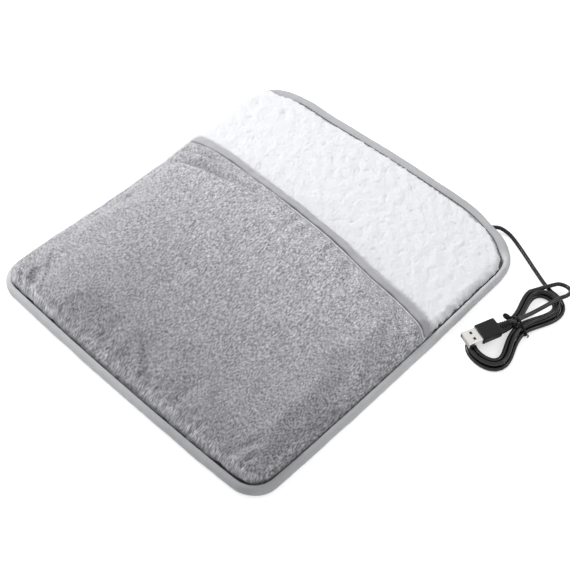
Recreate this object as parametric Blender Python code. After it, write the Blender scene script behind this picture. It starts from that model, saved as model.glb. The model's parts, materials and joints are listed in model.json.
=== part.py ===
"""Electric foot warmer: a padded heated mat, a sewn foot pocket and a tied USB lead.

Metres, +Z up. The origin is at the bottom centre of the mat. +Y points to the open heel
end, where the lead leaves, and -Y to the closed toe end.
"""

import math

import bmesh
import bpy
from mathutils import Matrix, Vector

# Clearance between pieces that touch
seam_gap = 0.0003
cut_overrun = 0.010

# Mat outline
mat_width = 0.2745
mat_length = 0.312
toe_radius = 0.020
heel_radius = 0.049
least_radius = 0.003
side_bow = 0.0022
end_bow = 0.0026

# Binding round the rim
binding_width = 0.012
binding_height = 0.013
tape_thickness = 0.0010
seam_thread_diameter = 0.0006

# Layers of the mat, from the ground up
back_thickness = 0.0010
padding_thickness = 0.0040
padding_floor = 0.0007
carrier_thickness = 0.0005
carrier_margin = 0.0085
heating_wire_diameter = 0.0012
lining_thickness = 0.0041
lining_rim_thickness = 0.0024
rim_relief = 0.0080

# Foot pocket
mouth_place = 0.0353
mouth_skew = -0.0085
cavity_height = 0.0095
pocket_lining_thickness = 0.0020
pocket_padding_thickness = 0.0040
cover_thickness = 0.0016
pocket_rim_share = 0.40
mouth_ditch_share = 0.40
pocket_side_power = 2.5
pocket_toe_power = 2.0
hem_width = 0.0140
hem_droop = 0.0030

# Heating wire: runs across the mat, and a lane back along its right side
heater_runs = 12
heater_toe_margin = 0.0317
heater_side_margin = 0.03495
heater_lane_gap = 0.0175
heater_recess_gap = 0.023

# Recess in the wadding for the electrical joints, with places inside it from its two near edges
recess_side_margin = 0.03725
recess_width = 0.060
recess_depth = 0.057
lead_diameter = 0.0013
lead_spacing = 0.0020
lead_headroom = 0.00045
joint_diameter = 0.0028
joint_length = 0.010
feed_joint_inset = 0.050
feed_joint_setback = 0.017
return_joint_inset = 0.017
return_joint_setback = 0.0065
cutoff_inset = 0.025
cutoff_setback = 0.023
cutoff_length = 0.0150
cutoff_width = 0.0060
cutoff_height = 0.0026
sleeve_wall = 0.0003
sleeve_length = 0.0190
lead_bend = 0.010
lip_run = 0.0012
bore_run = 0.0050

# Lead and its gland in the binding
cord_diameter = 0.0032
gland_diameter = 0.0044
gland_length = 0.0080
gland_depth = 0.0050
exit_angle = math.radians(19)
exit_slant = math.radians(33)
floor_gap = 0.00005

# Hank of tied loops
strand_gap = 0.0006
hank_place = Vector((0.170, 0.084))
hank_turn = math.radians(-3.5)
hank_turns = 3.9
hank_reverse_turn = 2.25
points_per_turn = 24
inner_loop_reach = 0.0365
lower_lobe_width = 0.0083
upper_lobe_width = 0.0066
waist_half_gap = 0.0009
lobe_spread_share = 0.25
climb_turns = 0.5
reversal_softness = 0.06
tie_lift_reach = 0.009
tail_side = -0.0002
tail_slack = 0.0006

# Tie round the waist
tie_width = 0.0032
tie_thickness = 0.0007
tie_knot_size = 0.0036

# USB plug
plug_place = Vector((0.1602, 0.0614))
plug_turn = math.radians(-20)
overmould_side_wall = 0.0010
overmould_face_wall = 0.00155
overmould_length = 0.0160
overmould_edge = 0.0010
relief_length = 0.0085
relief_wide = 0.0062
relief_narrow = 0.0044
shell_width = 0.0120
shell_height = 0.0045
shell_wall = 0.0003
shell_reach = 0.0118
shell_root = 0.0040
shell_hole_width = 0.0023
shell_hole_length = 0.0020
shell_hole_spacing = 0.0054
shell_hole_setback = 0.0052
tongue_thickness = 0.0017
tongue_setback = 0.0010
contact_width = 0.0010
contact_thickness = 0.0002
contact_length = 0.0070
contact_places = (-0.0035, -0.0010, 0.0010, 0.0035)

# Levels of the layers, worked out from their thicknesses
padding_bottom = back_thickness + seam_gap
padding_top = padding_bottom + padding_thickness
recess_floor = padding_bottom + padding_floor
carrier_bottom = padding_top + seam_gap
carrier_top = carrier_bottom + carrier_thickness
heating_wire_level = carrier_top + seam_gap + heating_wire_diameter / 2
lining_bottom = carrier_top + heating_wire_diameter + 2 * seam_gap
lining_top = lining_bottom + lining_thickness
lining_rim_bottom = padding_top + seam_gap
lining_rim_top = lining_rim_bottom + lining_rim_thickness
rim_inset = binding_width + seam_gap
seam_inset = binding_width - seam_gap - seam_thread_diameter / 2
seam_level = binding_height - tape_thickness + seam_thread_diameter / 2
gland_level = lining_rim_bottom - lead_headroom - lead_diameter / 2

# Places of the heater and its joints, worked out from the mat's edges
recess_right = mat_width / 2 - recess_side_margin
recess_left = recess_right - recess_width
recess_front = mat_length / 2 - recess_depth
heater_front = mat_length / 2 - rim_inset - heater_toe_margin
heater_back = recess_front - heater_recess_gap
heater_reach = mat_width / 2 - rim_inset - heater_side_margin
return_lane = heater_reach + heater_lane_gap
feed_joint_side = recess_right - feed_joint_inset
feed_joint_place = recess_front + feed_joint_setback
return_joint_side = recess_right - return_joint_inset
return_joint_place = recess_front + return_joint_setback
cutoff_side = recess_right - cutoff_inset
cutoff_place = recess_front + cutoff_setback

# Levels and sizes of the hank, its tie and the plug
overmould_width = shell_width + 2 * overmould_side_wall
overmould_height = shell_height + 2 * overmould_face_wall
strand_pitch = cord_diameter + strand_gap
tie_lift = tie_thickness + 2 * seam_gap + floor_gap
ground_level = cord_diameter / 2 + floor_gap
plug_level = ground_level + 1.5 * strand_pitch + overmould_height / 2 + seam_gap

# Shares of the half width at which the cloth grid has its columns
column_shares = (-1.0, -0.96, -0.92, -0.84, -0.68, -0.45, -0.2, 0.0,
                 0.2, 0.45, 0.68, 0.84, 0.92, 0.96, 1.0)
toe_angles = (0, 30, 60, 90)
heel_angles = (90, 72, 54, 36, 18, 0)
pocket_row_shares = (0.12, 0.26, 0.42, 0.58, 0.74, 0.88, 1.0)
heel_row_shares = (0.3, 0.6)

# Section of the hem band, as shares of its width, its height and its droop
hem_profile_shares = ((0.0, 1.0, 0.0), (0.3, 1.05, 0.0), (0.62, 0.78, 0.0), (0.88, 0.34, 0.5),
                      (1.0, 0.0, 0.7), (0.9, 0.0, 1.0), (0.45, 0.0, 0.0), (0.0, 0.0, 0.0))


def clear_scene():
    for item in list(bpy.data.objects):
        bpy.data.objects.remove(item)


def finish(name, colour, roughness, metallic=0.0):
    """A plain material with the piece's colour, roughness and metallic value."""
    material = bpy.data.materials.new(name)
    material.use_nodes = True
    shader = material.node_tree.nodes["Principled BSDF"]
    shader.inputs["Base Color"].default_value = (*colour, 1.0)
    shader.inputs["Roughness"].default_value = roughness
    shader.inputs["Metallic"].default_value = metallic
    return material


def add_object(name, mesh, material, holder=None):
    piece = bpy.data.objects.new(name, mesh)
    piece.data.materials.append(material)
    bpy.context.scene.collection.objects.link(piece)
    if holder:
        piece.parent = holder
    return piece


def add_mesh(name, vertices, faces, material, holder=None, smooth_angle=40):
    """A closed mesh from world points; under a holder they are taken relative to it."""
    origin = holder.location if holder else Vector((0, 0, 0))
    shape = bmesh.new()
    points = [shape.verts.new(Vector(vertex) - origin) for vertex in vertices]
    for face in faces:
        shape.faces.new([points[index] for index in face])
    bmesh.ops.recalc_face_normals(shape, faces=shape.faces)
    mesh = bpy.data.meshes.new(name)
    shape.to_mesh(mesh)
    shape.free()
    mesh.shade_smooth()
    mesh.set_sharp_from_angle(angle=math.radians(smooth_angle))
    return add_object(name, mesh, material, holder)


def add_holder(name, place, turn=0.0):
    holder = bpy.data.objects.new(name, None)
    bpy.context.scene.collection.objects.link(holder)
    holder.location = place
    holder.rotation_euler = (0, 0, turn)
    return holder


def add_tube(name, points, diameter, material, resolution=2, holder=None):
    """A round tube with filled ends along a polyline."""
    curve = bpy.data.curves.new(name, "CURVE")
    curve.dimensions = "3D"
    curve.bevel_depth = diameter / 2
    curve.bevel_resolution = resolution
    curve.use_fill_caps = True
    spline = curve.splines.new("POLY")
    spline.points.add(len(points) - 1)
    for point, place in zip(spline.points, points):
        point.co = (*place, 1.0)
    return add_object(name, curve, material, holder)


def change(piece, kind, cutter):
    """Cuts a helper shape out of a piece, or joins it on, and hides the helper."""
    modifier = piece.modifiers.new(cutter.name, "BOOLEAN")
    modifier.operation = kind
    modifier.object = cutter
    cutter.hide_render = True
    cutter.display_type = "WIRE"


def box_points(low, high):
    return [(x, y, z) for x in (low[0], high[0]) for y in (low[1], high[1]) for z in (low[2], high[2])]


box_faces = ((0, 1, 3, 2), (4, 6, 7, 5), (0, 4, 5, 1), (2, 3, 7, 6), (0, 2, 6, 4), (1, 5, 7, 3))


def add_box(name, low, high, material, holder=None):
    """A box between two corners, in its holder's own frame when it has one."""
    box = add_mesh(name, box_points(low, high), box_faces, material)
    box.parent = holder
    return box


def add_edge(piece, width, segments=2):
    bevel = piece.modifiers.new("edge", "BEVEL")
    bevel.width = width
    bevel.segments = segments


def smooth_path(points, spacing):
    """Points along a smooth curve through the route's own points."""
    route = [Vector(point) for point in points]
    ends = [2 * route[0] - route[1]] + route + [2 * route[-1] - route[-2]]
    path = [route[0]]
    for before, start, finish_point, after in zip(ends, ends[1:], ends[2:], ends[3:]):
        steps = max(1, round((finish_point - start).length / spacing))
        for step in range(1, steps + 1):
            t = step / steps
            path.append(0.5 * (2 * start + (finish_point - before) * t
                               + (2 * before - 5 * start + 4 * finish_point - after) * t ** 2
                               + (3 * start - before - 3 * finish_point + after) * t ** 3))
    return path


def bend_path(start, start_way, end, end_way, reach, steps=8):
    """A cubic bend from one place and direction to another."""
    first = start + start_way.normalized() * reach
    last = end - end_way.normalized() * reach
    path = []
    for step in range(steps + 1):
        t = step / steps
        path.append((1 - t) ** 3 * start + 3 * t * (1 - t) ** 2 * first
                    + 3 * t ** 2 * (1 - t) * last + t ** 3 * end)
    return path


def plan(row, share, inset):
    """The place of one grid point of the mat, `inset` inside its outline."""
    kind, value, skew = row
    half_length = mat_length / 2
    pull = 0.0
    if kind == "side":
        y = value + skew * share
    else:
        radius = max((toe_radius if kind == "toe" else heel_radius) - inset, least_radius)
        angle = math.radians(value)
        reach = half_length - inset - radius * (1 - math.cos(angle)) - end_bow * share ** 2
        y = -reach if kind == "toe" else reach
        pull = radius * (1 - math.sin(angle))
    half_width = mat_width / 2 - side_bow * (y / half_length) ** 2 - inset - pull
    return half_width * share, y


def grid_rows():
    """Rows of the cloth grid from toe to heel, and the number of those under the pocket."""
    toe_end = toe_radius - mat_length / 2
    heel_start = mat_length / 2 - heel_radius
    toe = [("toe", angle, 0.0) for angle in toe_angles]
    pocket = [("side", toe_end + (mouth_place - toe_end) * share, mouth_skew * share)
              for share in pocket_row_shares]
    behind = [("side", mouth_place + (heel_start - mouth_place) * share, mouth_skew * (1 - share))
              for share in heel_row_shares]
    heel = [("heel", angle, 0.0) for angle in heel_angles]
    return toe + pocket + behind + heel, len(toe) + len(pocket)


all_rows, pocket_row_count = grid_rows()
pocket_rows = all_rows[:pocket_row_count]
mouth_row = pocket_rows[-1]


def boundary(inset):
    """The mat's outline as a closed loop, `inset` inside its edge."""
    inner_rows = all_rows[1:-1]
    loop = [plan(all_rows[0], share, inset) for share in column_shares]
    loop += [plan(row, 1.0, inset) for row in inner_rows]
    loop += [plan(all_rows[-1], share, inset) for share in reversed(column_shares)]
    loop += [plan(row, -1.0, inset) for row in reversed(inner_rows)]
    return loop


def fullness(row, share, with_heel=True):
    """0 where a layer is sewn down at the rim, 1 where it has swelled to its thickness."""
    x, y = plan(row, share, rim_inset)
    edge = plan(row, math.copysign(1.0, share), rim_inset)[0]
    distance = min(abs(edge) - abs(x), y - plan(all_rows[0], share, rim_inset)[1])
    if with_heel:
        distance = min(distance, plan(all_rows[-1], share, rim_inset)[1] - y)
    return min(1.0, distance / rim_relief)


def lining_surface(row, share):
    return lining_rim_top + (lining_top - lining_rim_top) * fullness(row, share)


def cavity(row, share):
    """Height of the space for the feet between the foot bed and the pocket's lining."""
    y = plan(row, share, rim_inset)[1]
    toe = plan(all_rows[0], share, rim_inset)[1]
    mouth = plan(mouth_row, share, rim_inset)[1]
    to_mouth = (y - toe) / (mouth - toe)
    across = 1 - abs(share) ** pocket_side_power
    along = 1 - (1 - to_mouth) ** pocket_toe_power
    return cavity_height * across * along


def pocket_surface(row, share, layers_below, thickness=0.0):
    """Level of a pocket layer, from the thicknesses of the layers that lie under it."""
    squeeze = pocket_rim_share + (1 - pocket_rim_share) * fullness(row, share, with_heel=False)
    stack = (sum(layers_below) + thickness) * squeeze + len(layers_below) * seam_gap
    return lining_surface(row, share) + seam_gap + cavity(row, share) + stack


def grid_slab(name, rows, lower, upper, material, holder=None):
    """A closed cloth layer between two surfaces over the same grid."""
    across = len(column_shares)
    vertices = []
    for surface in (lower, upper):
        for row in rows:
            for share in column_shares:
                vertices.append((*plan(row, share, rim_inset), surface(row, share)))
    top = across * len(rows)
    faces = []
    for line in range(len(rows) - 1):
        for column in range(across - 1):
            a = line * across + column
            b, c, d = a + 1, a + 1 + across, a + across
            faces += [(a, c, b), (a, d, c)]
            faces += [(a + top, b + top, c + top), (a + top, c + top, d + top)]
    rim = list(range(across))
    rim += [line * across + across - 1 for line in range(1, len(rows))]
    rim += [(len(rows) - 1) * across + column for column in reversed(range(across - 1))]
    rim += [line * across for line in reversed(range(1, len(rows) - 1))]
    for here, there in zip(rim, rim[1:] + rim[:1]):
        faces.append((here, there, there + top, here + top))
    return add_mesh(name, vertices, faces, material, holder)


def flat_slab(name, inset, bottom, top, material):
    """A flat layer with the mat's outline."""
    loop = boundary(inset)
    count = len(loop)
    vertices = [(x, y, bottom) for x, y in loop] + [(x, y, top) for x, y in loop]
    faces = [tuple(range(count)), tuple(range(count, 2 * count))]
    faces += [(i, (i + 1) % count, (i + 1) % count + count, i + count) for i in range(count)]
    return add_mesh(name, vertices, faces, material)


def ring(name, section, material):
    """A closed ring round the mat whose section is given as (inset, level) points."""
    loops = [boundary(inset) for inset, level in section]
    count = len(loops[0])
    vertices = [(x, y, level) for loop, (inset, level) in zip(loops, section) for x, y in loop]
    faces = []
    for index in range(len(section)):
        here = index * count
        there = (index + 1) % len(section) * count
        for i in range(count):
            j = (i + 1) % count
            faces.append((here + i, here + j, there + j, there + i))
    return add_mesh(name, vertices, faces, material)


def roll_section(margin, lip_top, lip_bottom):
    """The rolled rim's section, `margin` inside its outer skin, from top lip to bottom lip."""
    radius = binding_height / 2
    section = [(lip_top, binding_height - margin)]
    for angle in (90, 135, 180, 225, 270):
        turn = math.radians(angle)
        section.append((radius + (radius - margin) * math.cos(turn),
                        radius + (radius - margin) * math.sin(turn)))
    section.append((lip_bottom, margin))
    return section


def exit_place():
    """Where the lead leaves the rim, and the direction in which it leaves."""
    corner = ("heel", math.degrees(exit_angle), 0.0)
    x, y = plan(corner, 1.0, 0.0)
    heading = math.pi / 2 - exit_angle - exit_slant
    return Vector((x, y, gland_level)), Vector((math.cos(heading), math.sin(heading), 0.0))


def rod_mesh(name, start, end, diameter, material, sides=16):
    """A straight round rod between two places."""
    way = (end - start).normalized()
    flat = way.orthogonal().normalized()
    other = way.cross(flat)
    vertices = []
    for centre in (start, end):
        for index in range(sides):
            angle = 2 * math.pi * index / sides
            vertices.append(centre + (flat * math.cos(angle) + other * math.sin(angle)) * diameter / 2)
    faces = [tuple(range(sides)), tuple(range(sides, 2 * sides))]
    faces += [(i, (i + 1) % sides, (i + 1) % sides + sides, i + sides) for i in range(sides)]
    return add_mesh(name, vertices, faces, material)


def make_mat_layers(recess):
    back = finish("back_cloth", (0.10, 0.10, 0.11), 0.95)
    wadding = finish("wadding", (0.85, 0.85, 0.84), 0.95)
    carrier = finish("carrier_cloth", (0.80, 0.80, 0.76), 0.9)
    sherpa = finish("sherpa", (0.88, 0.88, 0.89), 0.95)
    flat_slab("base_back_panel", rim_inset, 0.0, back_thickness, back)
    padding = flat_slab("base_padding", rim_inset, padding_bottom, padding_top, wadding)
    change(padding, "DIFFERENCE", recess)
    cloth = flat_slab("heater_carrier_cloth", rim_inset + carrier_margin, carrier_bottom,
                      carrier_top, carrier)
    change(cloth, "DIFFERENCE", recess)
    grid_slab("base_sherpa_lining", all_rows, lining_underside, lining_surface, sherpa)


def lining_underside(row, share):
    return lining_rim_bottom + (lining_bottom - lining_rim_bottom) * fullness(row, share)


def make_binding(bore):
    tape = finish("binding_tape", (0.47, 0.48, 0.50), 0.8)
    wadding = finish("binding_wadding", (0.85, 0.85, 0.84), 0.95)
    thread = finish("binding_thread", (0.22, 0.22, 0.24), 0.8)
    radius = seam_thread_diameter / 2
    top_lip = seam_inset - radius - seam_gap
    outer = roll_section(0.0, top_lip, binding_width)
    inner = roll_section(tape_thickness, top_lip, binding_width)
    skin = ring("edge_binding", outer + inner[::-1], tape)
    change(skin, "DIFFERENCE", bore)
    margin = tape_thickness + seam_gap
    core = ring("binding_core", roll_section(margin, binding_width, binding_width), wadding)
    change(core, "DIFFERENCE", bore)
    section = [(seam_inset - radius, seam_level), (seam_inset, seam_level + radius),
               (seam_inset + radius, seam_level), (seam_inset, seam_level - radius)]
    ring("binding_thread", section, thread)


def make_pocket(hinge):
    plush = finish("plush", (0.36, 0.37, 0.39), 0.9)
    wadding = finish("pocket_wadding", (0.85, 0.85, 0.84), 0.95)
    sherpa = finish("pocket_sherpa", (0.86, 0.86, 0.87), 0.95)
    velvet = finish("hem_velvet", (0.40, 0.41, 0.43), 0.8)
    thread = finish("hem_thread", (0.25, 0.25, 0.27), 0.8)
    layers = [
        ("pocket_sherpa_lining", pocket_lining_thickness, sherpa),
        ("pocket_padding", pocket_padding_thickness, wadding),
        ("pocket_outer_cover", cover_thickness, plush),
    ]
    below = []
    for name, thickness, material in layers:
        under = list(below)

        def lower(row, share):
            return pocket_surface(row, share, under)

        def upper(row, share):
            ditch = mouth_ditch_share if name == "pocket_outer_cover" and row == mouth_row else 1.0
            return pocket_surface(row, share, under, thickness * ditch)

        grid_slab(name, pocket_rows, lower, upper, material, hinge)
        below.append(thickness)
    make_hem(hinge, below, velvet, thread)


def make_hem(hinge, below, velvet, thread):
    """The band folded over the pocket's mouth, and the seam thread in the ditch beside it."""
    radius = seam_thread_diameter / 2
    edges = []
    for share in column_shares:
        x, y = plan(mouth_row, share, rim_inset)
        bottom = pocket_surface(mouth_row, share, [])
        top = pocket_surface(mouth_row, share, below[:-1], below[-1] * mouth_ditch_share)
        edges.append((Vector((x, y + seam_gap, 0)), bottom, top, 1 - abs(share) ** pocket_side_power))
    vertices = []
    for place, bottom, top, middle in edges:
        for along, rise, sag in hem_profile_shares:
            level = bottom + (top - bottom) * rise - hem_droop * middle * sag
            vertices.append((place.x, place.y + hem_width * along, level))
    count = len(hem_profile_shares)
    faces = [tuple(range(count)), tuple(range(len(vertices) - count, len(vertices)))]
    for column in range(len(edges) - 1):
        for index in range(count):
            a = column * count + index
            b = column * count + (index + 1) % count
            faces.append((a, b, b + count, a + count))
    add_mesh("pocket_hem_band", vertices, faces, velvet, hinge)
    line = []
    for place, bottom, top, middle in edges:
        line.append(Vector((place.x, place.y - seam_gap / 2, top + 2 * seam_gap + radius)) - hinge.location)
    add_tube("hem_seam_thread", line, seam_thread_diameter, thread, 0, hinge)


def joint_rod(name, centre, way, material):
    half = way * joint_length / 2
    return rod_mesh(name, centre - half, centre + half, joint_diameter, material, 12)


def make_heating_wire(feed_end, return_end):
    """One wire from joint to joint: runs across the mat, and a lane back along its side."""
    copper = finish("heating_wire", (0.75, 0.28, 0.12), 0.5)
    pitch = (heater_front + heater_back) / (heater_runs - 1)
    level = heating_wire_level
    start = Vector((feed_joint_side - pitch / 2, heater_back, level))
    drop_in = Vector((feed_joint_side, recess_front + lip_run, level))
    path = bend_path(feed_end, Vector((0, -1, 0)), drop_in, Vector((0, -1, 0)), lead_bend / 2, 5)
    corner_top = start + Vector((pitch / 2, pitch / 2, 0))
    path += bend_path(corner_top, Vector((0, -1, 0)), start, Vector((-1, 0, 0)), pitch / 4, 4)
    for run in range(heater_runs):
        side = -1 if run % 2 == 0 else 1
        y = heater_back - pitch * run
        if run < heater_runs - 1:
            for step in range(7):
                turn = math.pi * step / 6
                path.append(Vector((side * (heater_reach + math.sin(turn) * pitch / 2),
                                    y - pitch / 2 + math.cos(turn) * pitch / 2, level)))
    last = Vector((heater_reach, -heater_front, level))
    lane = Vector((return_lane, pitch - heater_front, level))
    path += bend_path(last, Vector((1, 0, 0)), lane, Vector((0, 1, 0)), pitch / 2, 5)
    lip = Vector((recess_right - lip_run, return_end.y, level))
    lane_end = Vector((return_lane, return_end.y - return_lane + lip.x, level))
    path += bend_path(lane_end, Vector((0, 1, 0)), lip, Vector((-1, 0, 0)), lead_bend / 2, 5)
    path += bend_path(lip, Vector((-1, 0, 0)), return_end, Vector((-1, 0, 0)), lead_bend / 2, 5)[1:]
    add_tube("heating_wire", path, heating_wire_diameter, copper, 1)


def make_electrics():
    """The gland's two leads, the cut-out in its sleeve, and the joints to the heating wire."""
    red = finish("red_lead", (0.55, 0.03, 0.03), 0.5)
    black = finish("black_lead", (0.03, 0.03, 0.03), 0.5)
    joint = finish("joint_sleeve", (0.05, 0.05, 0.05), 0.5)
    body = finish("cutoff_body", (0.45, 0.45, 0.47), 0.35, 0.8)
    film = finish("cutoff_sleeve", (0.75, 0.70, 0.55), 0.5)
    way_left = Vector((-1, 0, 0))
    way_back = Vector((0, -1, 0))
    rest = recess_floor + seam_gap
    joint_level = rest + joint_diameter / 2
    feed_joint = Vector((feed_joint_side, feed_joint_place, joint_level))
    return_joint = Vector((return_joint_side, return_joint_place, joint_level))
    joint_rod("wire_joint_feed", feed_joint, way_back, joint)
    joint_rod("wire_joint_return", return_joint, way_left, joint)
    joint_half = joint_length / 2 + seam_gap
    make_heating_wire(feed_joint + way_back * joint_half, return_joint - way_left * joint_half)

    cutoff_level = rest + sleeve_wall + seam_gap + cutoff_height / 2
    cutoff = Vector((cutoff_side, cutoff_place, cutoff_level))
    half = Vector((cutoff_length, cutoff_width, cutoff_height)) / 2
    add_box("overheat_cutoff", cutoff - half, cutoff + half, body)
    bore_half = half + Vector((sleeve_length, 2 * seam_gap, 2 * seam_gap)) / 2
    skin_half = Vector((sleeve_length / 2, bore_half.y + sleeve_wall, bore_half.z + sleeve_wall))
    sleeve = add_box("cutoff_sleeve", cutoff - skin_half, cutoff + skin_half, film)
    change(sleeve, "DIFFERENCE", add_box("sleeve_bore", cutoff - bore_half, cutoff + bore_half, film))

    outlet, way_out = exit_place()
    inner_end = outlet - way_out * (gland_depth + gland_length + seam_gap)
    beside = Vector((-way_out.y, way_out.x, 0)) * lead_spacing / 2
    bore_mouth = inner_end - way_out * bore_run
    cutoff_reach = cutoff_length / 2 + seam_gap
    feed_path = bend_path(bore_mouth + beside, -way_out, feed_joint - way_back * joint_half, way_back,
                          lead_bend, 12)
    add_tube("lead_wire_feed", [inner_end + beside] + feed_path, lead_diameter, red, 1)
    return_path = bend_path(bore_mouth - beside, -way_out, cutoff - way_left * cutoff_reach, way_left,
                            lead_bend / 2, 10)
    add_tube("lead_wire_return", [inner_end - beside] + return_path, lead_diameter, black, 1)
    link_start = cutoff + way_left * cutoff_reach
    link_end = return_joint + way_left * joint_half
    add_tube("link_wire", bend_path(link_start, way_left, link_end, -way_left, 2 * lead_bend, 12),
             lead_diameter, black, 1)


def make_gland():
    rubber = finish("gland_rubber", (0.03, 0.03, 0.03), 0.6)
    outlet, way_out = exit_place()
    outer_end = outlet - way_out * gland_depth
    rod_mesh("cord_gland", outer_end - way_out * gland_length, outer_end, gland_diameter, rubber)


def hank_loop_point(turn):
    """One point of the tied loops, in the hank's own frame, after so many turns."""
    angle = math.pi / 2 - 2 * math.pi * turn
    side, rise = math.cos(angle), math.sin(angle)
    lobe = (lower_lobe_width + upper_lobe_width) / 2 + (upper_lobe_width - lower_lobe_width) / 2 * rise
    widest = 2 / (3 * math.sqrt(3))
    place = Vector((waist_half_gap * side + lobe * side * rise ** 2 / widest, inner_loop_reach * rise))
    lobe_slope = (upper_lobe_width - lower_lobe_width) / 2 * side
    slope = Vector((
        -waist_half_gap * rise + lobe_slope * side * rise ** 2 / widest
        + lobe * (2 * side ** 2 * rise - rise ** 3) / widest,
        inner_loop_reach * side,
    ))
    outward = Vector((slope.y, -slope.x)).normalized()
    turns_out = math.hypot(turn - hank_reverse_turn, reversal_softness)
    spread = 1 + lobe_spread_share * rise ** 2
    place += outward * strand_pitch * spread * turns_out
    climb = min(1.0, max(0.0, (turn - hank_reverse_turn) / climb_turns + 0.5))
    climb = climb * climb * (3 - 2 * climb)
    lift = tie_lift * math.exp(-(place.y / tie_lift_reach) ** 2)
    return Vector((place.x, place.y, ground_level + strand_pitch * climb + lift))


def hank_matrix():
    return Matrix.Translation((*hank_place, 0)) @ Matrix.Rotation(hank_turn, 4, "Z")


def plug_matrix():
    return Matrix.Translation((*plug_place, plug_level)) @ Matrix.Rotation(plug_turn, 4, "Z")


def relief_end():
    """Where the lead enters the plug's strain relief, and the direction back along the lead."""
    reach = overmould_length / 2 + 2 * seam_gap + relief_length
    place = plug_matrix() @ Vector((0, reach, 0))
    return place, (plug_matrix().to_3x3() @ Vector((0, 1, 0))).normalized()


def cord_routes():
    """Points of the free stretch and of the hank, which meet face to face."""
    outlet, way_out = exit_place()
    start = outlet - way_out * (gland_depth - seam_gap)
    bore_end = outlet + way_out * cord_diameter / 2
    free_points = [
        start, bore_end,
        (0.1085, 0.1530, 0.0036), (0.1137, 0.1531, 0.0025), (0.1195, 0.1515, 0.0018),
        (0.1275, 0.1481, ground_level), (0.1363, 0.1440, ground_level),
        (0.1450, 0.1398, ground_level), (0.1536, 0.1358, ground_level),
        (0.1580, 0.1338, ground_level), (0.1612, 0.1325, ground_level),
    ]
    free = smooth_path(free_points, 2 * cord_diameter)
    frame = hank_matrix()
    count = round(points_per_turn * hank_turns)
    loops = [frame @ hank_loop_point(step / points_per_turn) for step in range(count + 1)]
    junction = Vector(free_points[-1])
    heading = (junction - Vector(free_points[-2])).normalized()
    lead_in = smooth_path([junction + heading * seam_gap, junction + heading * cord_diameter,
                           (0.1680, 0.1303, ground_level), loops[0]], cord_diameter)
    upper = ground_level + strand_pitch
    top = ground_level + 2 * strand_pitch
    end, back = relief_end()
    tail_points = [
        loops[-1],
        (0.1664, 0.1315, upper), (0.1703, 0.1373, upper), (0.1762, 0.1392, upper),
        (0.1812, 0.1358, (upper + top) / 2), (0.1820, 0.1295, top), (0.1790, 0.1220, top),
        (0.1757, 0.1090, top), (0.1727, 0.0965, top + tie_lift / 2),
        frame @ Vector((tail_side, tie_width, top + tie_lift)),
        frame @ Vector((tail_side - tail_slack, -tie_width / 2, top + tie_lift)),
        end + back * (cord_diameter + seam_gap), end + back * seam_gap,
    ]
    tail = smooth_path(tail_points, 1.5 * cord_diameter)
    return free, lead_in[:-1] + loops + tail[1:]


def segment_gap(start, end, other_start, other_end):
    """Least distance between two straight segments."""
    first, second, across = end - start, other_end - other_start, start - other_start
    a, e, f = first.dot(first), second.dot(second), second.dot(across)
    c, b = first.dot(across), first.dot(second)
    spread = a * e - b * b
    s = min(1.0, max(0.0, (b * f - c * e) / spread)) if spread > 0 else 0.0
    t = (b * s + f) / e
    if t < 0:
        t, s = 0.0, min(1.0, max(0.0, -c / a))
    elif t > 1:
        t, s = 1.0, min(1.0, max(0.0, (b - c) / a))
    return ((start + first * s) - (other_start + second * t)).length


def least_gap(path, diameter):
    """Least clearance of a tube to itself, past the stretch that follows each point."""
    lengths = [0.0]
    for here, there in zip(path, path[1:]):
        lengths.append(lengths[-1] + (there - here).length)
    least = math.inf
    for i in range(len(path) - 1):
        for j in range(i + 2, len(path) - 1):
            if lengths[j] - lengths[i + 1] > 3 * diameter:
                least = min(least, segment_gap(path[i], path[i + 1], path[j], path[j + 1]))
    return least - diameter, lengths[-1]


def make_cord():
    rubber = finish("cord_rubber", (0.02, 0.02, 0.02), 0.35)
    free, hank = cord_routes()
    add_tube("usb_cord", free, cord_diameter, rubber, 2)
    add_tube("cord_hank", hank, cord_diameter, rubber, 1)
    gap, length = least_gap(hank, cord_diameter)
    free_length = sum((there - here).length for here, there in zip(free, free[1:]))
    print(f"hank: least gap {gap * 1000:.2f} mm, length {length * 1000:.0f} mm")
    print(f"free stretch: length {free_length * 1000:.0f} mm")


def hull(points):
    """Convex outline of flat points, anticlockwise."""
    ordered = sorted(points)
    outline = []
    for line in (ordered, ordered[::-1]):
        chain = []
        for point in line:
            while len(chain) > 1:
                (ax, ay), (bx, by) = chain[-2], chain[-1]
                if (bx - ax) * (point[1] - ay) - (by - ay) * (point[0] - ax) > 0:
                    break
                chain.pop()
            chain.append(point)
        outline += chain[:-1]
    return outline


def wrap(centres, radius, sides=12):
    """Outline of a band that hugs round strands at the given centres."""
    points = []
    for x, z in centres:
        for index in range(sides):
            angle = 2 * math.pi * index / sides
            points.append((round(x + radius * math.cos(angle), 9), round(z + radius * math.sin(angle), 9)))
    return hull(points)


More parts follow.
